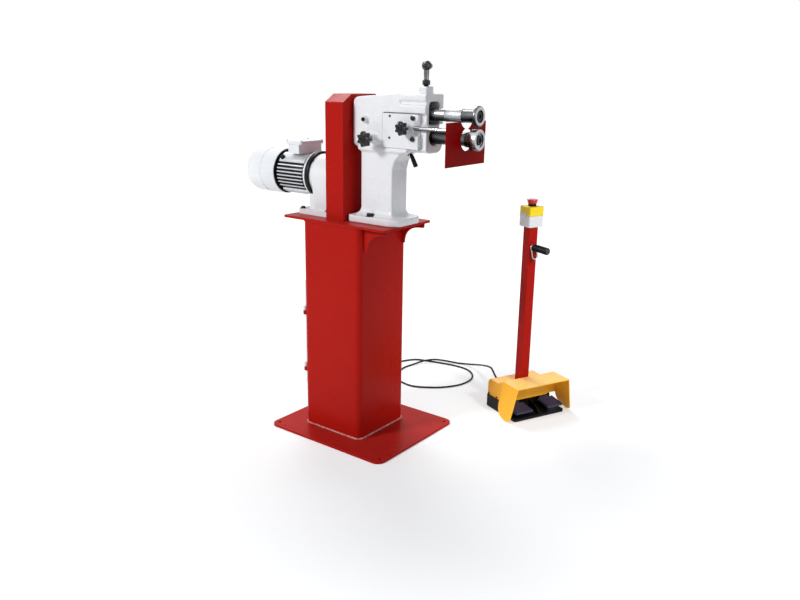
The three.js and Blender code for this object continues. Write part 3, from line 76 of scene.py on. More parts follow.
cord = {
    "diameter": 7.5,
    "points": [
        (-110, 147.6, 70), (-110, 158, 69.6), (-118, 202, 50), (-134, 233, 28), (-155, 265, 11),
        (-185, 302, 5), (-255, 410, 4), (-285, 530, 4), (-273, 599, 4), (-239, 655, 4),
        (-185, 676, 4), (-130, 690, 4), (-60, 702, 4), (-4, 698, 4), (35, 677, 4),
        (58, 653, 4), (76, 617, 4), (81, 565, 4), (69, 516, 4), (39, 468, 4),
        (6, 436, 4), (-64, 397, 4), (-126, 403, 4), (-180, 432, 4), (-218, 540, 4),
        (-210, 600, 5), (-190, 650, 11), (-160, 683, 14.5), (-122, 712, 10), (-70, 736, 4.5),
        (-20, 742, 9.5), (30, 722, 25), (78, 680, 47), (130, 622, 74), (180, 570, 97),
        (215, 537.5, 106.5), (238, 517.5, 98), (249, 510, 91), (257.6, 505.8, 87.2), (266.9, 501.6, 85),
    ],
}


# The route drawn in the CAD source, through every point in turn
def smoothRoute(points, samples):
    points = [Vector(point) for point in points]
    points = [points[0] * 2 - points[1]] + points + [points[-1] * 2 - points[-2]]
    route = []
    for before, start, end, after in zip(points, points[1:], points[2:], points[3:]):
        near, mid, far = (math.sqrt((q - p).length) for p, q in ((before, start), (start, end), (end, after)))
        leave = ((start - before) / near - (end - before) / (near + mid) + (end - start) / mid) * mid
        reach = ((end - start) / mid - (after - start) / (mid + far) + (after - end) / far) * mid
        for step in range(samples):
            u = step / samples
            curve = start + leave * u + (end * 3 - start * 3 - leave * 2 - reach) * u ** 2
            route.append(curve + (start * 2 - end * 2 + leave + reach) * u ** 3)
    return route + [points[-2]]


def meshObject(name, mesh):
    data = bpy.data.meshes.new(name)
    mesh.to_mesh(data)
    mesh.free()
    piece = bpy.data.objects.new(name, data)
    bpy.context.scene.collection.objects.link(piece)
    return piece


# A tube along a route in metres, made a mesh so that its box is the tube's own
def tubePiece(name, route, radius, rounds, closed=False, swell=lambda i: 1):
    data = bpy.data.curves.new(name, "CURVE")
    data.dimensions = "3D"
    data.bevel_depth = radius
    data.bevel_resolution = rounds
    data.use_fill_caps = not closed
    spline = data.splines.new("POLY")
    spline.points.add(len(route) - 1)
    spline.use_cyclic_u = closed
    for i, (point, place) in enumerate(zip(spline.points, route)):
        point.co = (*place, 1)
        point.radius = swell(i)
    curve = bpy.data.objects.new(name + "_curve", data)
    bpy.context.scene.collection.objects.link(curve)
    bpy.context.view_layer.update()
    tube = bpy.data.meshes.new_from_object(curve.evaluated_get(bpy.context.evaluated_depsgraph_get()))
    bpy.data.objects.remove(curve)
    bpy.data.curves.remove(data)
    mesh = bmesh.new()
    mesh.from_mesh(tube)
    bmesh.ops.remove_doubles(mesh, verts=mesh.verts, dist=1e-6)
    for face in mesh.faces:
        face.smooth = len(face.verts) < 5
    mesh.to_mesh(tube)
    mesh.free()
    piece = bpy.data.objects.new(name, tube)
    bpy.context.scene.collection.objects.link(piece)
    return piece


def makeCord():
    route = [point * mm for point in smoothRoute(cord["points"], 10)]
    lead = tubePiece("control_lead", route, cord["diameter"] / 2 * mm, 4)
    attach(lead, "root")
    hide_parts("control_cord")
    return lead


lead = makeCord()
print("cord laid")

# Floor, light and background

studio = {
    "floor": 14, "world": 0.24, "floorTone": 0.92, "glowNear": 0.26, "glowFar": 0.84, "floorLift": 1.32,
    "clearing": (0.7, 1.7), "ambient": (0.8, 0.9, 1, 1),
    "key": {"place": (-1.5, -3.6, 2.9), "size": 1.0, "power": 140},
    "fill": {"place": (3.9, -0.3, 1.9), "size": 2.2, "power": 32},
    "crown": {"place": (-1.5, 1.3, 3.2), "size": 1.5, "power": 66},
    "aim": (0, 0.1, 0.75),
    "spot": {"place": (2.2, -0.2, 1.7), "aim": (0.42, 0.5, 0.45), "cone": 30, "power": 95, "size": 0.15},
}


# Links a source to a socket, or sets the socket to a plain value
def feed(tree, value, socket):
    if isinstance(value, bpy.types.NodeSocket):
        tree.links.new(value, socket)
    else:
        socket.default_value = value


def mathNode(tree, operation, first, second=None, clamp=False):
    node = tree.nodes.new("ShaderNodeMath")
    node.operation = operation
    node.use_clamp = clamp
    for socket, value in zip(node.inputs, (first, second)):
        if value is not None:
            feed(tree, value, socket)
    return node.outputs[0]


def noiseNode(tree, vector, scale, detail=3, rough=0.5):
    node = tree.nodes.new("ShaderNodeTexNoise")
    node.inputs["Detail"].default_value = detail
    node.inputs["Roughness"].default_value = rough
    tree.links.new(vector, node.inputs["Vector"])
    feed(tree, scale, node.inputs["Scale"])
    return node.outputs["Fac"]


def mixNode(tree, factor, first, second, blend="MIX"):
    node = tree.nodes.new("ShaderNodeMix")
    node.data_type = "RGBA"
    node.blend_type = blend
    for label, value in (("Factor", factor), ("A", first), ("B", second)):
        feed(tree, value, node.inputs[label])
    return node.outputs["Result"]


def rangeNode(tree, value, given=(0, 1), result=(0, 1), way="LINEAR"):
    node = tree.nodes.new("ShaderNodeMapRange")
    node.interpolation_type = way
    for label, number in zip(("From Min", "From Max", "To Min", "To Max"), (*given, *result)):
        feed(tree, number, node.inputs[label])
    tree.links.new(value, node.inputs["Value"])
    return node.outputs["Result"]


# 1 where the camera, a reflection or glass sees the surface, otherwise 0
def whiteForCamera(tree):
    rays = tree.nodes.new("ShaderNodeLightPath")
    total = rays.outputs["Is Camera Ray"]
    for name in ("Is Glossy Ray", "Is Transmission Ray"):
        total = mathNode(tree, "ADD", total, rays.outputs[name], True)
    return total


def standLamp(data, lamp, aim):
    light = bpy.data.objects.new(data.name, data)
    place = Vector(lamp["place"])
    turn = (Vector(aim) - place).to_track_quat("-Z", "Y").to_matrix().to_4x4()
    light.matrix_world = Matrix.Translation(place) @ turn
    bpy.context.scene.collection.objects.link(light)


def makeStudio():
    world = bpy.data.worlds.new("studio")
    world.use_nodes = True
    tree = world.node_tree
    background = tree.nodes["Background"]
    seen = whiteForCamera(tree)
    cool = mixNode(tree, seen, studio["ambient"], (1, 1, 1, 1))
    tree.links.new(cool, background.inputs["Color"])
    tree.links.new(rangeNode(tree, seen, result=(studio["world"], 1)), background.inputs["Strength"])
    bpy.context.scene.world = world

    floorFinish = bpy.data.materials.new("pale floor")
    floorFinish.use_nodes = True
    tree = floorFinish.node_tree
    shader = tree.nodes["Principled BSDF"]
    shader.inputs["Base Color"].default_value = (studio["floorTone"],) * 3 + (1,)
    shader.inputs["Roughness"].default_value = 0.9
    shader.inputs["Specular IOR Level"].default_value = 0.1
    glow = tree.nodes.new("ShaderNodeEmission")
    glow.inputs["Strength"].default_value = studio["floorLift"]
    place = tree.nodes.new("ShaderNodeTexCoord")
    reach = tree.nodes.new("ShaderNodeVectorMath")
    reach.operation = "LENGTH"
    tree.links.new(place.outputs["Object"], reach.inputs[0])
    glows = (studio["glowNear"], studio["glowFar"])
    spread = rangeNode(tree, reach.outputs["Value"], studio["clearing"], glows, "SMOOTHSTEP")
    blend = tree.nodes.new("ShaderNodeMixShader")
    tree.links.new(mathNode(tree, "MULTIPLY", whiteForCamera(tree), spread), blend.inputs["Fac"])
    tree.links.new(shader.outputs[0], blend.inputs[1])
    tree.links.new(glow.outputs[0], blend.inputs[2])
    tree.links.new(blend.outputs[0], tree.nodes["Material Output"].inputs["Surface"])
    mesh = bmesh.new()
    bmesh.ops.create_grid(mesh, x_segments=1, y_segments=1, size=studio["floor"])
    floor = meshObject("floor", mesh)
    floor.data.materials.append(floorFinish)

    for name in ("key", "fill", "crown"):
        lamp = studio[name]
        data = bpy.data.lights.new(name, "AREA")
        data.shape = "DISK"
        data.size = lamp["size"]
        data.energy = lamp["power"]
        standLamp(data, lamp, studio["aim"])

    spot = studio["spot"]  # picks out the foot console
    data = bpy.data.lights.new("spot", "SPOT")
    data.spot_size = math.radians(spot["cone"])
    data.spot_blend = 0.5
    data.shadow_soft_size = spot["size"]
    data.energy = spot["power"]
    standLamp(data, spot, spot["aim"])


makeStudio()
bpy.context.scene.view_settings.view_transform = "Standard"
print("studio lit")

# Shared surface effects, as node groups


def newGroup(name, inputs, outputs):
    group = bpy.data.node_groups.new(name, "ShaderNodeTree")
    for label, kind, value in inputs:
        socket = group.interface.new_socket(label, in_out="INPUT", socket_type=kind)
        if value is not None:
            socket.default_value = value
    for label, kind in outputs:
        group.interface.new_socket(label, in_out="OUTPUT", socket_type=kind)
    return group, group.nodes.new("NodeGroupInput").outputs, group.nodes.new("NodeGroupOutput").inputs


# Slow colour change over a surface, as sprayed paint and castings have
def makeMottle():
    group, given, out = newGroup("mottle", [
        ("Vector", "NodeSocketVector", None), ("Scale", "NodeSocketFloat", 6.0),
        ("Colour", "NodeSocketColor", None), ("Shade", "NodeSocketColor", None),
        ("Amount", "NodeSocketFloat", 0.3),
    ], [("Colour", "NodeSocketColor"), ("Mask", "NodeSocketFloat")])
    slow = noiseNode(group, given["Vector"], given["Scale"], 2)
    mask = mathNode(group, "MULTIPLY", rangeNode(group, slow, (0.35, 0.68)), given["Amount"], True)
    group.links.new(mixNode(group, mask, given["Colour"], given["Shade"]), out["Colour"])
    group.links.new(mask, out["Mask"])
    return group


# Fine dust and finger marks, stronger on faces that look up; on the console hood and the stop button the same
# mask lays a painted sheen on the top faces
def makeDust():
    group, given, out = newGroup("dustAndSheen", [
        ("Vector", "NodeSocketVector", None), ("Colour", "NodeSocketColor", None),
        ("Dust", "NodeSocketColor", None), ("Amount", "NodeSocketFloat", 0.15),
    ], [("Colour", "NodeSocketColor"), ("Mask", "NodeSocketFloat")])
    geometry = group.nodes.new("ShaderNodeNewGeometry")
    split = group.nodes.new("ShaderNodeSeparateXYZ")
    group.links.new(geometry.outputs["Normal"], split.inputs[0])
    up = mathNode(group, "POWER", mathNode(group, "MAXIMUM", split.outputs["Z"], 0.0), 2.0)
    specks = noiseNode(group, given["Vector"], 38, 5, 0.65)
    level = mathNode(group, "MULTIPLY", mathNode(group, "ADD", up, 0.18), specks)
    mask = mathNode(group, "MULTIPLY", level, given["Amount"], True)
    group.links.new(mixNode(group, mask, given["Colour"], given["Dust"]), out["Colour"])
    group.links.new(mask, out["Mask"])
    return group


# Uneven gloss between two roughness values
def makeGloss():
    group, given, out = newGroup("uneven gloss", [
        ("Vector", "NodeSocketVector", None), ("Scale", "NodeSocketFloat", 20.0),
        ("Low", "NodeSocketFloat", 0.3), ("High", "NodeSocketFloat", 0.45),
    ], [("Roughness", "NodeSocketFloat")])
    noise = noiseNode(group, given["Vector"], given["Scale"], 4, 0.6)
    group.links.new(rangeNode(group, noise, (0.3, 0.7), (given["Low"], given["High"])), out["Roughness"])
    return group


# Surface relief: a fine grain over slow waves
def makeSkin():
    group, given, out = newGroup("skin", [
        ("Vector", "NodeSocketVector", None), ("Grain", "NodeSocketFloat", 900.0),
        ("Waves", "NodeSocketFloat", 60.0), ("Wave Share", "NodeSocketFloat", 0.5),
    ], [("Height", "NodeSocketFloat")])
    grain = noiseNode(group, given["Vector"], given["Grain"], 2)
    waves = noiseNode(group, given["Vector"], given["Waves"], 3)
    mix = group.nodes.new("ShaderNodeMix")
    group.links.new(given["Wave Share"], mix.inputs["Factor"])
    group.links.new(grain, mix.inputs["A"])
    group.links.new(waves, mix.inputs["B"])
    group.links.new(mix.outputs["Result"], out["Height"])
    return group


# Fine rings left by a lathe, for a piece turned about its own X axis
def makeTurnMarks():
    group, given, out = newGroup("turning marks", [
        ("Vector", "NodeSocketVector", None), ("Scale", "NodeSocketFloat", 1500.0),
    ], [("Height", "NodeSocketFloat")])
    split = group.nodes.new("ShaderNodeSeparateXYZ")
    group.links.new(given["Vector"], split.inputs[0])
    squares = [mathNode(group, "MULTIPLY", split.outputs[axis], split.outputs[axis]) for axis in ("Y", "Z")]
    radius = mathNode(group, "SQRT", mathNode(group, "ADD", *squares))
    noise = group.nodes.new("ShaderNodeTexNoise")
    noise.noise_dimensions = "1D"
    noise.inputs["Detail"].default_value = 2
    group.links.new(mathNode(group, "ADD", split.outputs["X"], radius), noise.inputs["W"])
    group.links.new(given["Scale"], noise.inputs["Scale"])
    group.links.new(noise.outputs["Fac"], out["Height"])
    return group


# Painted reflection: bright and dark bands laid into a metal's colour by how far each face looks up or down
def makePaintedReflectionBands():
    group, given, out = newGroup("painted reflection bands", [
        ("Vector", "NodeSocketVector", None), ("Colour", "NodeSocketColor", None),
        ("Amount", "NodeSocketFloat", 1.0),
    ], [("Colour", "NodeSocketColor")])
    geometry = group.nodes.new("ShaderNodeNewGeometry")
    split = group.nodes.new("ShaderNodeSeparateXYZ")
    group.links.new(geometry.outputs["Normal"], split.inputs[0])
    wobble = mathNode(group, "MULTIPLY", noiseNode(group, given["Vector"], 14, 2), 0.12)
    level = mathNode(group, "ADD", mathNode(group, "MULTIPLY", split.outputs["Z"], 0.5), 0.44)
    ramp = group.nodes.new("ShaderNodeValToRGB")
    group.links.new(mathNode(group, "ADD", level, wobble, True), ramp.inputs["Fac"])
    for stop in paintedReflectionBands[1:-1]:
        ramp.color_ramp.elements.new(stop[0])
    for element, (place, value) in zip(ramp.color_ramp.elements, paintedReflectionBands):
        element.position = place
        element.color = (value, value, value, 1)
    group.links.new(mixNode(group, given["Amount"], given["Colour"], ramp.outputs["Color"], "MULTIPLY"),
                    out["Colour"])
    return group


# Stops of the painted reflection: how bright the colour stays for each way a face looks
paintedReflectionBands = [(0.0, 0.12), (0.16, 0.02), (0.32, 0.05), (0.42, 0.3), (0.5, 0.55), (0.62, 0.85), (0.76, 1.0),
         (0.88, 0.5), (1.0, 0.12)]
effects = {
    "mottle": makeMottle(), "dustAndSheen": makeDust(), "gloss": makeGloss(),
    "skin": makeSkin(), "marks": makeTurnMarks(), "paintedReflectionBands": makePaintedReflectionBands(),
}


# A colour given as it looks on a screen, 0 to 255, in Blender's linear values
def paint(red, green, blue):
    channels = [c / 255 for c in (red, green, blue)]
    return [c / 12.92 if c <= 0.04045 else ((c + 0.055) / 1.055) ** 2.4 for c in channels] + [1]


def makeFinish(name, values):
    material = bpy.data.materials.new(name)
    material.use_nodes = True
    tree = material.node_tree
    shader = tree.nodes["Principled BSDF"]
    shader.inputs["Metallic"].default_value = values.get("metal", 0)
    shader.inputs["Specular IOR Level"].default_value = values.get("specular", 0.5)
    shader.inputs["Coat Weight"].default_value = values.get("coat", 0)
    shader.inputs["Coat Roughness"].default_value = 0.12
    place = tree.nodes.new("ShaderNodeTexCoord")
    mapping = tree.nodes.new("ShaderNodeMapping")
    mapping.inputs["Location"].default_value = [-c * mm for c in values.get("centre", (0, 0, 0))]
    tree.links.new(place.outputs["Object"], mapping.inputs["Vector"])
    vector = mapping.outputs["Vector"]

    def add(effect, **given):
        node = tree.nodes.new("ShaderNodeGroup")
        node.node_tree = effects[effect]
        tree.links.new(vector, node.inputs["Vector"])
        for label, value in given.items():
            feed(tree, value, node.inputs[label.replace("_", " ")])
        return node.outputs

    mottle = add("mottle", Scale=values.get("patch", 6), Colour=paint(*values["colour"]),
                 Shade=paint(*values["shade"]), Amount=values.get("change", 0.5))
    dustAndSheen = add("dustAndSheen", Colour=mottle["Colour"], Dust=paint(*values.get("dustAndSheen", (190, 186, 180))),
               Amount=values.get("dustAndSheenAmount", 0.12))
    colour = dustAndSheen["Colour"]
    # Painted reflection bands, for metals that mirror bright and dark surroundings
    if "paintedReflection" in values:
        colour = add("paintedReflectionBands", Colour=colour, Amount=values["paintedReflection"])["Colour"]
    tree.links.new(colour, shader.inputs["Base Color"])
    low, high = values["rough"]
    gloss = add("gloss", Scale=values.get("smear", 18), Low=low, High=high)
    tree.links.new(gloss["Roughness"], shader.inputs["Roughness"])
    bump = tree.nodes.new("ShaderNodeBump")
    bump.inputs["Distance"].default_value = values.get("depth", 0.2) * mm
    bump.inputs["Strength"].default_value = values.get("relief", 0.3)
    if "turned" in values:
        height = add("marks", Scale=values["turned"])["Height"]
    else:
        height = add("skin", Grain=values.get("grain", 900), Waves=values.get("waves", 60),
                     Wave_Share=values.get("wavy", 0.5))["Height"]
    tree.links.new(height, bump.inputs["Height"])
    tree.links.new(bump.outputs["Normal"], shader.inputs["Normal"])
    return material


finishes = {
    "redPaint": {"colour": (172, 23, 14), "shade": (160, 16, 11), "rough": (0.26, 0.36), "specular": 0.05,
                 "grain": 420, "waves": 26, "wavy": 0.6, "relief": 0.12, "depth": 0.2, "dustAndSheenAmount": 0.03,
                 "patch": 3, "change": 0.35},
    "darkRed": {"colour": (136, 4, 4), "shade": (120, 2, 3), "rough": (0.32, 0.44), "specular": 0.03,
                "grain": 420, "waves": 26, "relief": 0.12, "dustAndSheenAmount": 0.02, "patch": 3, "change": 0.35},
    "whiteEnamel": {"colour": (228, 228, 230), "shade": (219, 220, 224), "rough": (0.22, 0.34),
                    "specular": 0.4, "grain": 320, "waves": 45, "wavy": 0.7, "relief": 0.22, "depth": 0.5,
                    "dustAndSheenAmount": 0.06, "dustAndSheen": (170, 168, 165), "change": 0.3},
    "greyIron": {"colour": (50, 51, 54), "shade": (36, 37, 40), "rough": (0.4, 0.6), "grain": 500,
                 "relief": 0.4, "dustAndSheenAmount": 0.06, "specular": 0.3},
    "shellWhite": {"colour": (226, 227, 229), "shade": (214, 215, 219), "rough": (0.3, 0.42), "grain": 700,
                   "relief": 0.2, "dustAndSheenAmount": 0.1, "dustAndSheen": (165, 163, 160)},
    "castAlloy": {"colour": (206, 208, 211), "shade": (176, 179, 184), "rough": (0.32, 0.5), "metal": 0.55,
                  "grain": 520, "waves": 120, "relief": 0.45, "depth": 0.35, "dustAndSheenAmount": 0.1},
    "polishedSteel": {"colour": (222, 224, 228), "shade": (206, 208, 213), "rough": (0.16, 0.26), "metal": 1,
                      "turned": 900, "relief": 0.16, "depth": 0.12, "dustAndSheenAmount": 0.02, "change": 0.4,
                      "paintedReflection": 0.9},
    "brightChrome": {"colour": (232, 233, 236), "shade": (218, 220, 224), "rough": (0.08, 0.15), "metal": 1,
                     "grain": 300, "relief": 0.05, "dustAndSheenAmount": 0.02, "paintedReflection": 0.85},
    "ringSteel": {"colour": (206, 208, 212), "shade": (186, 188, 193), "rough": (0.2, 0.32), "metal": 1,
                  "turned": 900, "relief": 0.2, "depth": 0.12, "dustAndSheenAmount": 0.02, "paintedReflection": 0.6},
    "blackenedSteel": {"colour": (128, 130, 134), "shade": (92, 94, 98), "rough": (0.22, 0.36), "metal": 1,
                       "turned": 700, "relief": 0.2, "depth": 0.15, "dustAndSheenAmount": 0.02, "paintedReflection": 0.97},
    # A darker copy of the shaft steel for the upper shaft in the yoke's shadow: painted shade
    "steelDarkenedInShade": {"colour": (176, 178, 182), "shade": (140, 142, 146), "rough": (0.2, 0.32), "metal": 1,
                    "turned": 700, "relief": 0.2, "depth": 0.15, "dustAndSheenAmount": 0.02, "paintedReflection": 0.92},
    "darkScrews": {"colour": (58, 58, 61), "shade": (40, 40, 43), "rough": (0.28, 0.42), "metal": 0.8,
                   "grain": 900, "relief": 0.2, "dustAndSheenAmount": 0.03, "paintedReflection": 0.7, "specular": 0.2},
    # The bushes' bronze is darkened far below its own tone to sit in the shade round the shafts: painted
    # shade
    "bronzeDarkenedInShade": {"colour": (84, 66, 42), "shade": (60, 46, 30), "rough": (0.32, 0.46), "metal": 1,
                      "turned": 700, "relief": 0.2, "dustAndSheenAmount": 0.03, "paintedReflection": 0.8},
    "blackMoulding": {"colour": (12, 12, 14), "shade": (7, 7, 9), "rough": (0.3, 0.44), "grain": 1100,
                      "relief": 0.2, "depth": 0.12, "dustAndSheenAmount": 0.01, "specular": 0.14},
    "glossBlack": {"colour": (9, 9, 10), "shade": (5, 5, 6), "rough": (0.1, 0.2), "grain": 1100,
                   "relief": 0.06, "depth": 0.1, "dustAndSheenAmount": 0.01, "specular": 0.4},
    "cordRubber": {"colour": (16, 16, 18), "shade": (10, 10, 12), "rough": (0.42, 0.58), "grain": 1400,
                   "relief": 0.3, "depth": 0.1, "dustAndSheenAmount": 0.03, "specular": 0.2},
    "slatePlastic": {"colour": (56, 54, 82), "shade": (44, 42, 68), "rough": (0.45, 0.62), "grain": 900,
                     "relief": 0.4, "depth": 0.15, "dustAndSheenAmount": 0.05, "specular": 0.25},
    # The hood's pale top is a painted sheen, laid by the dust mask's high amount and pale colour
    "amberShell": {"colour": (255, 186, 22), "shade": (250, 174, 16), "rough": (0.32, 0.46), "grain": 380,
                   "waves": 40, "relief": 0.2, "depth": 0.3, "dustAndSheenAmount": 0.8, "dustAndSheen": (252, 216, 160),
                   "specular": 0.2},
    "lemonLid": {"colour": (246, 216, 26), "shade": (236, 202, 22), "rough": (0.28, 0.4), "grain": 700,
                 "relief": 0.15, "dustAndSheenAmount": 0.05, "dustAndSheen": (244, 236, 190), "specular": 0.3},
    "paleMoulding": {"colour": (226, 227, 228), "shade": (216, 217, 219), "rough": (0.35, 0.5), "grain": 800,
                     "relief": 0.2, "dustAndSheenAmount": 0.08, "dustAndSheen": (180, 178, 175)},
    # The button's pale pink top is a painted highlight, laid by the dust mask
    "signalRed": {"colour": (200, 16, 26), "shade": (178, 10, 22), "rough": (0.16, 0.28), "coat": 0.3,
                  "grain": 700, "relief": 0.12, "dustAndSheenAmount": 0.06, "dustAndSheen": (236, 170, 165)},
    # A red painted weld whose pale specks are painted glints
    "weldWithPaintedGlints": {"colour": (196, 150, 146), "shade": (168, 60, 56), "rough": (0.35, 0.55), "patch": 90,
                  "change": 1.0, "grain": 500, "relief": 0.4, "dustAndSheenAmount": 0.15},
}
made = {name: makeFinish(name, values) for name, values in finishes.items()}
lead.data.materials.append(made["cordRubber"])
print("finishes mixed:", len(made))

# Mesh helpers


def rotation(degrees, axis):
    return Matrix.Rotation(math.radians(degrees), 4, axis)


alongX = Matrix.Identity(4)
alongY = rotation(90, "Z")
alongZ = rotation(-90, "Y")


def soften(mesh, width, segments=2, angle=30, choose=lambda e: True):
    edges = [e for e in mesh.edges
             if e.is_manifold and e.calc_face_angle(0) > math.radians(angle) and choose(e)]
    bmesh.ops.bevel(mesh, geom=edges, offset=width, offset_type="OFFSET", segments=segments, profile=0.5,
                    affect="EDGES", material=-1, clamp_overlap=True)


# Profiles of a plain ring and a plain rod, as (radius, along)
def ring(inner, outer, start, end):
    return [(inner, start), (outer, start), (outer, end), (inner, end), (inner, start)]


def rod(radius, start, end):
    return [(0, start), (radius, start), (radius, end), (0, end)]


# Spins a profile of (radius, along) about X, then turns it to its axis and puts it in place
def lathe(mesh, profile, turn=alongX, place=(0, 0, 0), steps=64, soft=0.4):
    part = bmesh.new()
    verts = [part.verts.new((along, 0, radius)) for radius, along in profile]
    edges = [part.edges.new(pair) for pair in zip(verts, verts[1:])]
    bmesh.ops.spin(part, geom=verts + edges, cent=(0, 0, 0), axis=(1, 0, 0), angle=math.tau, steps=steps,
                   use_merge=True)
    bmesh.ops.remove_doubles(part, verts=part.verts, dist=0.001)
    bmesh.ops.recalc_face_normals(part, faces=part.faces)
    if soft:
        soften(part, soft, 2, 25)
    addPart(mesh, part, Matrix.Translation(place) @ turn)


def addPart(mesh, part, matrix=Matrix.Identity(4)):
    bmesh.ops.transform(part, matrix=matrix, verts=part.verts)
    data = bpy.data.meshes.new("part")
    part.to_mesh(data)
    part.free()
    mesh.from_mesh(data)
    bpy.data.meshes.remove(data)


def vertsOf(result):
    return [g for g in result["geom"] if isinstance(g, bmesh.types.BMVert)]


def block(mesh, low, high, soft=0.6, turn=Matrix.Identity(4)):
    low, high = Vector(low), Vector(high)
    part = bmesh.new()
    size = Matrix.Diagonal((*(high - low), 1))
    bmesh.ops.create_cube(part, size=1, matrix=Matrix.Translation((low + high) / 2) @ size)
    if soft:
        soften(part, soft)
    addPart(mesh, part, turn)


# A hexagon head on an optional washer, standing along the turned X axis
def hexHead(mesh, across, high, turn, place, washer=0):
    part = bmesh.new()
    lie = Matrix.Translation((high / 2, 0, 0)) @ rotation(90, "Y")
    radius = across / math.sqrt(3)
    bmesh.ops.create_cone(part, cap_ends=True, segments=6, radius1=radius, radius2=radius, depth=high,
                          matrix=lie)
    soften(part, across * 0.05)
    addPart(mesh, part, Matrix.Translation(place) @ turn)
    if washer:
        lathe(mesh, rod(washer, 0, 1.4), turn, place, 32, 0.3)


# A round head with a recess for its key
def capScrew(mesh, radius, high, turn, place):
    lathe(mesh, [(0, 0), (radius, 0), (radius, high), (radius * 0.52, high), (radius * 0.45, high * 0.4),
                 (0, high * 0.4)], turn, place, 24, min(0.35, radius * 0.1))


# Turns a mesh in millimetres into a finished piece that rides on a body
def makePiece(name, mesh, body, finish, stands=(), place=Matrix.Identity(4), smooth=32):
    bmesh.ops.transform(mesh, matrix=Matrix.Scale(mm, 4) @ place, verts=mesh.verts)
    for face in mesh.faces:
        face.smooth = True
    for edge in mesh.edges:
        edge.smooth = edge.is_manifold and edge.calc_face_angle(0) < math.radians(smooth)
    piece = meshObject(name, mesh)
    piece.data.materials.append(made[finish])
    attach(piece, body)
    if stands:
        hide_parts(*stands)
    return piece


# A piece that is one lathed solid
def makeTurned(name, body, finish, profile, at, stands=(), turn=alongX, steps=72, soft=0.5,
               place=Matrix.Identity(4)):
    mesh = bmesh.new()
    lathe(mesh, profile, turn, at, steps, soft)
    makePiece(name, mesh, body, finish, stands, place)


# A CAD node's own shape with its edges broken, standing for that node
def softCopy(node, body, finish, edge=0.8, segments=2, angle=32, choose=lambda e: True):
    mesh = bmesh.new()
    mesh.from_mesh(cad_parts[node].data)
    bmesh.ops.scale(mesh, vec=(1000, 1000, 1000), verts=mesh.verts)
    bmesh.ops.remove_doubles(mesh, verts=mesh.verts, dist=0.01)
    bmesh.ops.dissolve_limit(mesh, angle_limit=math.radians(1), verts=mesh.verts, edges=mesh.edges)
    soften(mesh, edge, segments, angle, choose)
    piece = makePiece(node + "_skin", mesh, body, finish, [node])
    piece.modifiers.new("even shading", "WEIGHTED_NORMAL").keep_sharp = True
    return piece


# A run of weld along a line, with its ripples
def bead(name, points, radius, body, finish, ripple=0.25, step=3.0, closed=True):
    points = [Vector(point) for point in points]
    if closed:
        points.append(points[0])
    route = []
    for start, end in zip(points, points[1:]):
        count = max(1, round((end - start).length / step))
        route += [start.lerp(end, i / count) for i in range(count)]
    if not closed:
        route.append(points[-1])
    route = [place * mm for place in route]
    piece = tubePiece(name, route, radius * mm, 2, closed,
                      lambda i: 1 + ripple * math.sin(i * 2.1) + ripple * 0.5 * math.sin(i * 0.37))
    piece.data.materials.append(made[finish])
    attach(piece, body)
    return piece


def roundedRoute(x0, x1, y0, y1, z, radius, steps=6):
    centres = [(x1 - radius, y1 - radius, 0), (x0 + radius, y1 - radius, 90),
               (x0 + radius, y0 + radius, 180), (x1 - radius, y0 + radius, 270)]
    route = []
    for cx, cy, start in centres:
        for i in range(steps + 1):
            angle = math.radians(start + 90 * i / steps)
            route.append((cx + radius * math.cos(angle), cy + radius * math.sin(angle), z))
    return route


# Stand: plates, column and welds

stand = {
    "edge": 1.2, "columnTop": 730, "corner": 21,
    "column_weld": {"round": (-162.2, 90.2, -126.2, 126.2), "z": 9.4, "radius": 3.2},
    "deck_weld": {"round": (-162, 90, -126, 126), "z": 740.6, "radius": 2.2},
}
softCopy("base_plate", "root", "redPaint", stand["edge"])
softCopy("column", "root", "redPaint", 0.8,
         choose=lambda e: max(v.co.z for v in e.verts) > stand["columnTop"])
softCopy("top_plate", "root", "redPaint", stand["edge"])
for side in ("near", "far"):
    softCopy("gusset_" + side, "root", "redPaint", 0.6)
for name, finish, ripple in (("column_weld", "weldWithPaintedGlints", 0.25), ("deck_weld", "redPaint", 0.15)):
    weld = stand[name]
    route = roundedRoute(*weld["round"], weld["z"], stand["corner"])
    bead(name, route, weld["radius"], "root", finish, ripple)
print("stand dressed")

# Service door at the rear

doorLatch = {"y": 84, "z": 340, "radius": 11, "tab": 26}
softCopy("service_door", "door", "shellWhite", 0.7)
for name in ("door_hinge_upper", "door_hinge_lower"):
    softCopy(name, "root", "redPaint", 0.4, angle=50)
mesh = bmesh.new()
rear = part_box("service_door")[0].x / mm
back = rotation(180, "Z")
disc = doorLatch["radius"]
lathe(mesh, [(0, 0), (disc, 0), (disc, 2.5), (disc - 4, 4), (0, 4)], back,
      (rear, doorLatch["y"], doorLatch["z"]), 40, 0.3)
block(mesh, (rear - 9, doorLatch["y"] - 3, doorLatch["z"] - doorLatch["tab"] / 2),
      (rear - 3, doorLatch["y"] + 3, doorLatch["z"] + doorLatch["tab"] / 2), 1)
makePiece("door_latch", mesh, "door", "darkScrews")
print("door dressed")

# Chain guard

guardTrim = {
    "bend": 3.2, "head": 5.5, "high": 3.2, "near": -88.6, "far": 116.6, "foot": 751, "back": -86.3,
    "outside": {"front": -11, "near": -87, "far": 115, "top": 1153}, "shortest": 30,
    "screws": [(-74, 790), (102, 790), (-76, 1000), (104, 1000), (-58, 1118), (86, 1118)],
}


# Only the folds on the outside of the guard, not its wall's inner ones
def outerEdge(edge):
    front, near, far, top = guardTrim["outside"].values()
    return edge.calc_length() > guardTrim["shortest"] and all(
        v.co.x > front or v.co.y < near or v.co.y > far or v.co.z > top for v in edge.verts)


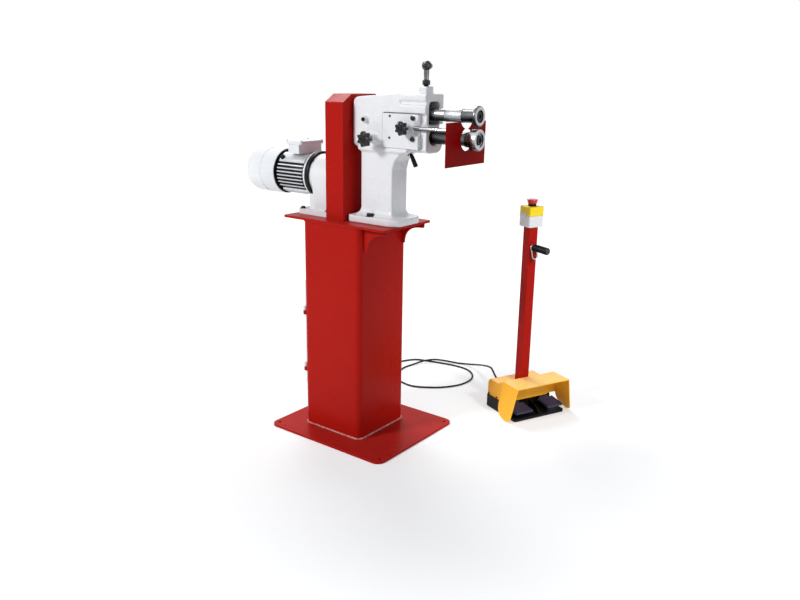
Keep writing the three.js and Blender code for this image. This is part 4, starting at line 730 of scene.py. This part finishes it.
softCopy("chain_guard", "root", "redPaint", guardTrim["bend"], 3, 20, outerEdge)
softCopy("guard_back", "root", "redPaint", 0.5)
mesh = bmesh.new()
for y, z in guardTrim["screws"]:
    capScrew(mesh, guardTrim["head"], guardTrim["high"], back, (guardTrim["back"], y, z))
makePiece("guard_screws", mesh, "root", "darkScrews")
weldLine = [(x, guardTrim[side], guardTrim["foot"])
            for x, side in ((-86, "near"), (-9.6, "near"), (-9.6, "far"), (-86, "far"))]
bead("guard_weld", weldLine, 1.6, "root", "redPaint", 0.2, 3, False)
print("guard dressed")

# Frame casting: remeshed, so that every edge is as soft as a casting's

casting = {"voxel": 2.35, "passes": 9, "factor": 0.5}


def makeCasting():
    mesh = bmesh.new()
    mesh.from_mesh(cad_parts["frame_casting"].data)
    bmesh.ops.remove_doubles(mesh, verts=mesh.verts, dist=1e-5)
    piece = meshObject("frame_casting_skin", mesh)
    data = piece.data
    remesh = piece.modifiers.new("remesh", "REMESH")
    remesh.mode = "VOXEL"
    remesh.voxel_size = casting["voxel"] * mm
    smooth = piece.modifiers.new("smooth", "SMOOTH")
    smooth.factor = casting["factor"]
    smooth.iterations = casting["passes"]
    bpy.context.view_layer.update()
    shaped = bpy.data.meshes.new_from_object(piece.evaluated_get(bpy.context.evaluated_depsgraph_get()))
    piece.modifiers.clear()
    piece.data = shaped
    bpy.data.meshes.remove(data)
    for face in shaped.polygons:
        face.use_smooth = True
    shaped.materials.clear()
    shaped.materials.append(made["whiteEnamel"])
    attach(piece, "root")
    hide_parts("frame_casting")
    print("casting faces:", len(shaped.polygons))


makeCasting()

castingTrim = {"x": 77, "y": 58, "across": 19, "high": 9.7, "washer": 13.2, "boltFoot": 773.7}
for side, y in (("near", -castingTrim["y"]), ("far", castingTrim["y"])):
    mesh = bmesh.new()
    hexHead(mesh, castingTrim["across"], castingTrim["high"], alongZ,
            (castingTrim["x"], y, castingTrim["boltFoot"]), castingTrim["washer"])
    makePiece("casting_bolt_" + side + "_head", mesh, "root", "darkScrews", ["casting_bolt_" + side])

out = rotation(-90, "Z")
makeTurned("oiler_cap", "root", "blackMoulding", [(0, 0), (6.6, 0), (6.6, 3), (3.4, 4.4), (3.4, 7), (0, 7)],
           (51, -62, 1079), (), out, 32, 0.4)
print("casting dressed")

# Clamp plate with its screws, and the two star knobs

plateTrim = {
    "screws": [(147, 1093), (146, 1027)], "bolts": [(236, 1090.5), (236, 1027)],
    "screwRadius": 3.6, "across": 13, "seat": 9, "face": -48.5,
}
softCopy("rod_clamp_plate", "root", "whiteEnamel", 1.1, 3)
mesh = bmesh.new()
for x, z in plateTrim["screws"]:
    capScrew(mesh, plateTrim["screwRadius"], 2.2, out, (x, plateTrim["face"], z))
for x, z in plateTrim["bolts"]:
    hexHead(mesh, plateTrim["across"], 6, out, (x, plateTrim["face"] - 1, z))
makePiece("clamp_plate_screws", mesh, "root", "darkScrews")
mesh = bmesh.new()
for x, z in plateTrim["bolts"]:
    lathe(mesh, rod(plateTrim["seat"], 0, 1.2), out, (x, plateTrim["face"], z), 32, 0.3)
makePiece("clamp_plate_washers", mesh, "root", "polishedSteel")


# A seven-lobed knob with a rounded rim, a dished face and its stud
def starKnob(node, body, x, z, near, far, radius, studTip):
    lobes = 7
    mesh = bmesh.new()
    part = bmesh.new()
    bmesh.ops.create_circle(part, cap_ends=True, segments=lobes * 14, radius=radius)
    for vert in part.verts:
        angle = math.atan2(vert.co.y, vert.co.x)
        vert.co *= 0.86 + 0.14 * math.cos(angle * lobes)
    crown = bmesh.ops.extrude_face_region(part, geom=part.faces[:])
    bmesh.ops.translate(part, vec=(0, 0, near - far), verts=vertsOf(crown))
    bmesh.ops.recalc_face_normals(part, faces=part.faces)
    soften(part, radius * 0.13, 4, 60)
    caps = [f for f in part.faces if len(f.verts) > 20 and f.calc_center_median().z > 1]
    bmesh.ops.inset_region(part, faces=caps, thickness=radius * 0.2, use_even_offset=True)
    bmesh.ops.translate(part, vec=(0, 0, -1.2), verts=list({v for f in caps for v in f.verts}))
    addPart(mesh, part, Matrix.Translation((x, near, z)) @ rotation(90, "X"))
    hub = radius * 0.42
    lathe(mesh, [(0, 0), (hub, 0), (hub, 5.5), (hub - 1.5, 6.5), (0, 6.5)], alongY, (x, near - 0.5, z), 40,
          0.5)
    makePiece(node + "_star", mesh, body, "glossBlack", [node])
    makeTurned(node + "_stud", body, "ringSteel", rod(5, 2, studTip - near), (x, near, z), (), alongY, 24,
               0.4)


starKnob("rod_clamp_knob", "rod_knob", 213, 1059, -68, -84, 22, -47.2)
starKnob("side_clamp_knob", "side_knob", 84, 1021, -87, -105, 25, -24.5)
print("clamp plate and knobs dressed")

# Sheet stop

softCopy("stop_plate", "sheet_stop", "darkRed", 0.6, 2)
rodSet = {"radius": 6.5, "start": 180.5, "end": 395, "at": (0, -40.3, 1059)}
makeTurned("stop_rod_bar", "sheet_stop", "brightChrome",
           rod(rodSet["radius"], rodSet["start"], rodSet["end"]), rodSet["at"], ["stop_rod"],
           steps=40, soft=0.8)
print("sheet stop dressed")

# Rolls, shafts and their bolts

rollSet = {"lower": 1033.5, "upper": 1101.5, "steps": 96}
lowerAt = (0, 0, rollSet["lower"])
upperAt = (0, 0, rollSet["upper"])

makeTurned("lower_shaft_bar", "lower_train", "blackenedSteel", [
    (0, -80), (15, -80), (15, -11.8), (20, -11.8), (20, 399), (23, 399), (23, 412), (12.5, 412),
    (12.5, 439.7), (6.3, 439.7), (6.3, 414), (0, 414)], lowerAt, ["lower_shaft"])
makeTurned("upper_shaft_bar", "upper_train", "steelDarkenedInShade", [
    (0, -40), (15, -40), (15, -11.8), (19, -11.8), (19, 387), (12.5, 387), (12.5, 436.7),
    (6.3, 436.7), (6.3, 411), (0, 411)], upperAt, ["upper_shaft"])
makeTurned("upper_sleeve_tube", "upper_train", "ringSteel", ring(19.3, 20.5, 327, 387), upperAt,
           ["upper_sleeve"])
makeTurned("lower_roll_wheel", "lower_train", "polishedSteel", [
    (12.8, 412.3), (19, 412.3), (19, 420), (30.2, 420), (31.8, 421.6), (31.8, 443), (29.8, 445),
    (20.6, 445), (20.6, 440), (12.8, 440), (12.8, 412.3)], lowerAt, ["lower_roll"], steps=rollSet["steps"])
makeTurned("upper_roll_wheel", "upper_train", "blackenedSteel", [
    (12.8, 387.3), (19.5, 387.3), (19.5, 426), (20.4, 428.6), (22.6, 430.6), (26, 432.2), (29.2, 433.2),
    (30.7, 435), (30.7, 439.5), (29.6, 441.2), (27.6, 442), (18.3, 442), (18.3, 437), (12.8, 437),
    (12.8, 387.3)], upperAt, ["upper_roll"], steps=rollSet["steps"], soft=0.35)
makeTurned("upper_roll_face", "upper_train", "polishedSteel", ring(27.2, 18.5, 442.1, 442.6), upperAt,
           steps=rollSet["steps"], soft=0.15)


# A round-headed bolt with a hexagon socket
def rollBolt(node, body, face, at):
    mesh = bmesh.new()
    lathe(mesh, [(6.9, face - 4.2), (14.5, face - 4.2), (14.5, face - 1.5), (13.2, face - 0.5),
                 (7.4, face - 0.5), (6.9, face - 1.0), (6.9, face - 4.2)], alongX, at, 64, 0.25)
    lathe(mesh, rod(6, face - 28, face - 3.9), alongX, at, 32, 0.3)
    part = bmesh.new()
    lie = rotation(90, "Y")
    bmesh.ops.create_circle(part, cap_ends=True, segments=6, radius=6.93, matrix=lie)
    walls = bmesh.ops.extrude_face_region(part, geom=part.faces[:])
    bmesh.ops.translate(part, vec=(-3.0, 0, 0), verts=vertsOf(walls))
    lid = [f for f in part.faces if f.calc_center_median().x > -0.1]
    bmesh.ops.delete(part, geom=lid, context="FACES_ONLY")
    bmesh.ops.recalc_face_normals(part, faces=part.faces)
    bmesh.ops.reverse_faces(part, faces=part.faces)
    addPart(mesh, part, Matrix.Translation((face - 0.7, 0, 0)) @ Matrix.Translation(at))
    makePiece(node + "_head", mesh, body, "darkScrews", [node])


rollBolt("lower_roll_bolt", "lower_train", 445, lowerAt)
rollBolt("upper_roll_bolt", "upper_train", 442, upperAt)
softCopy("swing_arm", "arm", "greyIron", 0.6, 2, 40)
print("rolls and shafts dressed")

# Pressure screw, stop nut and tommy bar

screwSet = {
    "x": 247, "ball": 1243, "radius": 15, "heading": 117, "thread": 1.25,
    "nut": {"across": 21, "high": 14, "z": 1187}, "bar": {"radius": 4.5, "ends": (-25, 65), "ball": 9},
    "pad": {"radius": 12, "low": 1131, "high": 1136.7},
}
screwAt = (screwSet["x"], 0, 0)
mesh = bmesh.new()
threadProfile = [(0, 1137.4), (6, 1137.4), (8, 1141.4)]
z = 1143.0
while z < 1200:
    threadProfile += [(7.9, z), (7.1, z + screwSet["thread"] / 2)]
    z += screwSet["thread"]
threadProfile += [(7.9, 1201.5), (7.9, 1204), (7.4, 1207), (8.2, 1222), (8.2, 1230.5), (0, 1230.5)]
lathe(mesh, threadProfile, alongZ, screwAt, 40, 0)
makePiece("pressure_screw_bar", mesh, "screw", "blackenedSteel", ["pressure_screw"])
mesh = bmesh.new()
bmesh.ops.create_uvsphere(mesh, u_segments=48, v_segments=28, radius=screwSet["radius"],
                          matrix=Matrix.Translation((screwSet["x"], 0, screwSet["ball"])))
makePiece("pressure_screw_ball", mesh, "screw", "glossBlack")

mesh = bmesh.new()
nut = screwSet["nut"]
hexHead(mesh, nut["across"], nut["high"], alongZ, (screwSet["x"], 0, nut["z"]))
makePiece("stop_nut_hex", mesh, "screw", "darkScrews", ["stop_nut"])

mesh = bmesh.new()
bar = screwSet["bar"]
heading = Matrix.Translation((screwSet["x"], 0, screwSet["ball"])) @ rotation(screwSet["heading"], "Z")
lathe(mesh, rod(bar["radius"], *bar["ends"]), heading, (0, 0, 0), 28, 0.3)
for along in bar["ends"]:
    ball = bmesh.new()
    bmesh.ops.create_uvsphere(ball, u_segments=32, v_segments=20, radius=bar["ball"])
    addPart(mesh, ball, heading @ Matrix.Translation((along, 0, 0)))
makePiece("tommy_bar_rod", mesh, "screw", "glossBlack", ["tommy_bar"])
pad = screwSet["pad"]
makeTurned("thrust_pad_disc", "screw_pad", "darkScrews", rod(pad["radius"], pad["low"], pad["high"]), screwAt,
           ["thrust_pad"], alongZ, 40)
print("pressure screw dressed")

# Lock lever under the head

leverSet = {"place": (183, 10, 984), "lean": 28}
mesh = bmesh.new()
leverTurn = Matrix.Translation(leverSet["place"]) @ rotation(-leverSet["lean"], "Y")
lathe(mesh, ring(3.3, 8, -6, 6), leverTurn @ alongY, (0, 0, 0), 40, 0.6)
lathe(mesh, [(0, -53), (6.6, -53), (7.5, -51.5), (7.2, -32), (6.0, -14), (4.6, -12), (4, -12), (4, -5.5),
             (0, -5.5)], leverTurn @ alongZ, (0, 0, 0), 32, 0.4)
makePiece("lock_lever_handle", mesh, "lever", "blackMoulding", ["lock_lever"])
print("lock lever dressed")

# Geared motor

motorTrim = {
    "axis": 881.1, "plug": (-318, -49, 49), "flange": {"x": -180, "radius": 70},
    "foot": {"x": (-222, -108), "half": 56, "top": 767.4},
    "lid": {"x": (-297, -230), "half": 50, "top": 993},
}
softCopy("gearbox_housing", "root", "shellWhite", 1.6, 3, 34)
softCopy("motor_housing", "root", "castAlloy", 0.7, 2, 34)
softCopy("fan_cowl", "root", "shellWhite", 0.8, 2, 40)
softCopy("terminal_box", "root", "shellWhite", 1.2, 3, 50)
softCopy("terminal_box_lid", "root", "shellWhite", 1.0, 2, 50)
motorAt = (0, 0, motorTrim["axis"])
makeTurned("cowl_seam", "root", "shellWhite", [
    (78.6, -411), (79.5, -410.6), (79.5, -408.6), (78.6, -408.2), (78.6, -411)], motorAt, steps=96, soft=0.1)
mesh = bmesh.new()
# The long dark ring under the fins is painted shade between the fins; the two short dark rings sit at the
# cowl end and at the gearbox flange
for profile, soft in ((ring(68, 76.5, -342.4, -338.6), 0.2), (ring(62.4, 69, -338.4, -212.4), 0.2),
                      (ring(72, 79.4, -193, -178), 0.3)):
    lathe(mesh, profile, alongX, motorAt, 96, soft)
plugAt = Vector(motorTrim["plug"]) + Vector(motorAt)
lathe(mesh, [(0, 0), (8.5, 0), (8.5, 10), (7, 11.5), (0, 11.5)],
      rotation(45, "X") @ alongZ, plugAt, 32, 0.3)
makePiece("motor_dark_parts", mesh, "root", "blackMoulding")
mesh = bmesh.new()
for angle in (45, 135, 225, 315):
    turn = rotation(angle, "X")
    place = turn @ Vector((motorTrim["flange"]["x"], 0, motorTrim["flange"]["radius"]))
    hexHead(mesh, 10, 6, alongX, (place.x, place.y, place.z + motorTrim["axis"]), 8)
foot = motorTrim["foot"]
for x in foot["x"]:
    for y in (-foot["half"], foot["half"]):
        hexHead(mesh, 13, 7, alongZ, (x, y, foot["top"]), 11)
makePiece("gearbox_bolts", mesh, "root", "darkScrews")
mesh = bmesh.new()
lid = motorTrim["lid"]
for x in lid["x"]:
    for y in (-lid["half"], lid["half"]):
        capScrew(mesh, 3.2, 1.6, alongZ, (x, y, lid["top"]))
makePiece("terminal_lid_screws", mesh, "root", "darkScrews")
print("motor dressed")

# Foot console

console = {"place": (392.4, 499.3, 0), "turn": -24.5}
consoleAt = Matrix.Translation(console["place"]) @ rotation(console["turn"], "Z")
softCopy("pedal_base", "root", "blackMoulding", 1.2, 2, 40)
softCopy("pedal_hood", "root", "amberShell", 1.3, 3, 24)
softCopy("pedal_divider", "root", "darkScrews", 0.5, 2, 40)
softCopy("pedal_post", "root", "redPaint", 0.4, 2, 50)

pedalSet = {
    "left": (-104, -28), "right": (40, 110), "pivot": (8, 0, 35), "slope": 7.6,
    "rib": 2.6, "ribHigh": 1.3, "pitch": 7.5, "margin": 6,
}
pedalTurn = Matrix.Translation(pedalSet["pivot"]) @ rotation(pedalSet["slope"], "Y")
for side in ("left", "right"):
    softCopy("pedal_" + side, side + "_pedal", "slatePlastic", 1.0, 2, 40)
    first, last = pedalSet[side]
    mesh = bmesh.new()
    along = 16.0
    while along < 66:
        block(mesh, (along, first + pedalSet["margin"], 3.8),
              (along + pedalSet["rib"], last - pedalSet["margin"], 4 + pedalSet["ribHigh"]), 0.5)
        along += pedalSet["pitch"]
    for b in (first + 1.2, last - 3.2):
        block(mesh, (9, b, 3.8), (73.5, b + 2, 6.2), 0.6)
    block(mesh, (71.5, first + 1.2, 3.8), (73.5, last - 1.2, 6.2), 0.6)
    makePiece("pedal_" + side + "_ribs", mesh, side + "_pedal", "slatePlastic", (), consoleAt @ pedalTurn)

mesh = bmesh.new()
for a in (-85, -34):
    capScrew(mesh, 3.8, 2.2, out, (a, -112, 51.5))
makePiece("hood_screws", mesh, "root", "darkScrews", (), consoleAt)

# Rounded rear corners low on the hood's two leaning wings, each corner as (a, z)
cheek = {"corners": [(9.3, 60), (9.3, 44), (13, 30), (21, 18), (31, 10), (44, 5), (60, 4), (60, 60)],
         "thick": 2.7, "top": 132, "half": 117.9, "lean": 25 / 130}
mesh = bmesh.new()
for side in (-1, 1):
    part = bmesh.new()
    part.faces.new([part.verts.new((a, (cheek["half"] + cheek["lean"] * (cheek["top"] - z)) * side, z))
                    for a, z in cheek["corners"]])
    inner = bmesh.ops.extrude_face_region(part, geom=part.faces[:])
    bmesh.ops.translate(part, vec=(0, -cheek["thick"] * side, 0), verts=vertsOf(inner))
    bmesh.ops.recalc_face_normals(part, faces=part.faces)
    addPart(mesh, part)
makePiece("hood_cheeks", mesh, "root", "amberShell", (), consoleAt)
print("foot console dressed")

# Emergency stop on its post

stopSet = {"a": -12.7, "b": -17, "half": 31, "tab": {"a": -21.7, "half": 20, "rise": 9}}
stopAt = (stopSet["a"], stopSet["b"], 0)
softCopy("estop_box", "root", "paleMoulding", 1.4, 3, 34)
softCopy("estop_lid", "root", "lemonLid", 1.4, 3, 34)
makeTurned("estop_button_cap", "stop_button", "signalRed", [
    (0, 752), (8, 752), (8, 790), (14.8, 790), (14.8, 783.5), (15.8, 783.5), (16.2, 785), (18.8, 794),
    (20, 797), (19.3, 798.8), (16, 799.7), (9, 800), (0, 800)], stopAt,
    ["estop_button"], alongZ, 72, 0.3, consoleAt)
makeTurned("estop_collar", "root", "blackMoulding", [
    (9, 781.2), (14.05, 781.2), (14.05, 775.1), (14.6, 775.1), (14.6, 782.1), (14.2, 782.5), (9, 782.5),
    (9, 781.2)], stopAt, (), alongZ, 56, 0.1, consoleAt)
mesh = bmesh.new()
for a, b in [(-25, -25), (-25, 25), (25, -25), (25, 25)]:
    capScrew(mesh, 2.6, 1.2, alongZ, (stopAt[0] + a, stopAt[1] + b, 774.6))
makePiece("estop_lid_screws", mesh, "root", "darkScrews", (), consoleAt)
mesh = bmesh.new()
tab = stopSet["tab"]
lathe(mesh, [(0, 0), (5.6, 0), (5.6, 1), (4.8, 1.6), (0, 1.6)], out,
      (tab["a"], stopAt[1] - stopSet["half"], 737), 40, 0.2)
arch = bmesh.new()
bmesh.ops.create_circle(arch, cap_ends=True, segments=64, radius=1)
bmesh.ops.scale(arch, vec=(tab["half"], tab["rise"] + 3, 1), verts=arch.verts)
bmesh.ops.bisect_plane(arch, geom=arch.verts[:] + arch.edges[:] + arch.faces[:], plane_co=(0, 0, 0),
                       plane_no=(0, -1, 0), clear_outer=True)
raised = bmesh.ops.extrude_face_region(arch, geom=arch.faces[:])
bmesh.ops.translate(arch, vec=(0, 0, 0.7), verts=vertsOf(raised))
bmesh.ops.recalc_face_normals(arch, faces=arch.faces)
addPart(mesh, arch, Matrix.Translation((tab["a"], stopAt[1] - stopSet["half"], 740)) @ rotation(90, "X"))
makePiece("estop_front_tab", mesh, "root", "paleMoulding", (), consoleAt)

# Rubber grip on its bracket

gripSet = {"z": 629, "from": 13, "to": 88, "radius": 13, "ribs": 9, "wire": 3.1, "lean": 13}
profile = [(5.3, gripSet["from"]), (10.5, gripSet["from"])]
span = gripSet["to"] - gripSet["from"]
for i in range(gripSet["ribs"] * 6 + 1):
    share = i / (gripSet["ribs"] * 6)
    wave = math.cos(share * gripSet["ribs"] * math.tau)
    profile.append((gripSet["radius"] - 1.0 + 1.0 * wave, gripSet["from"] + 1.5 + share * (span - 3)))
profile += [(10.5, gripSet["to"]), (5.3, gripSet["to"]), (5.3, gripSet["from"])]
gripAt = (0, stopSet["b"], gripSet["z"])
makeTurned("grip_sleeve_ribbed", "root", "blackMoulding", profile, gripAt, ["grip_sleeve"], alongX, 48, 0,
           consoleAt)
makeTurned("grip_rod", "root", "greyIron", [(0, 7), (5, 7), (5, 88.4), (9, 88.4), (9, 92), (0, 92)], gripAt,
           (), alongX, 40, 0.8, consoleAt)
wire = roundedRoute(-28, -6, 584, 638, 0, 10.8, 8)
hang = Matrix.Translation((9.6, stopSet["b"], gripSet["z"])) @ rotation(gripSet["lean"], "X")
loop = [consoleAt @ hang @ Vector((0, b - stopSet["b"], z - gripSet["z"])) for b, z, _ in wire]
loopPiece = bead("grip_loop", loop, gripSet["wire"], "root", "brightChrome", 0, 4)
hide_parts("grip_bracket")
print("emergency stop and grip dressed")

# Glands

for node in ("control_gland", "console_gland"):
    softCopy(node, "root", "blackMoulding", 0.7, 2, 40)

# The nodes that keep their CAD shape

carried = {
    "lower_front_bush": "bronzeDarkenedInShade", "upper_front_bush": "bronzeDarkenedInShade", "lower_gear": "blackenedSteel",
    "upper_gear": "blackenedSteel", "driven_sprocket": "blackenedSteel", "drive_sprocket": "blackenedSteel",
    "drive_chain": "blackenedSteel", "output_shaft": "polishedSteel", "rotor": "polishedSteel",
    "cooling_fan": "blackMoulding",
}
for node, finish in carried.items():
    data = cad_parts[node].data
    data.materials.clear()
    data.materials.append(made[finish])
for node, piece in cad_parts.items():
    if node not in carried and not piece.hide_render:
        print("node without a new finish:", node)
print("nodes carried over:", len(carried))
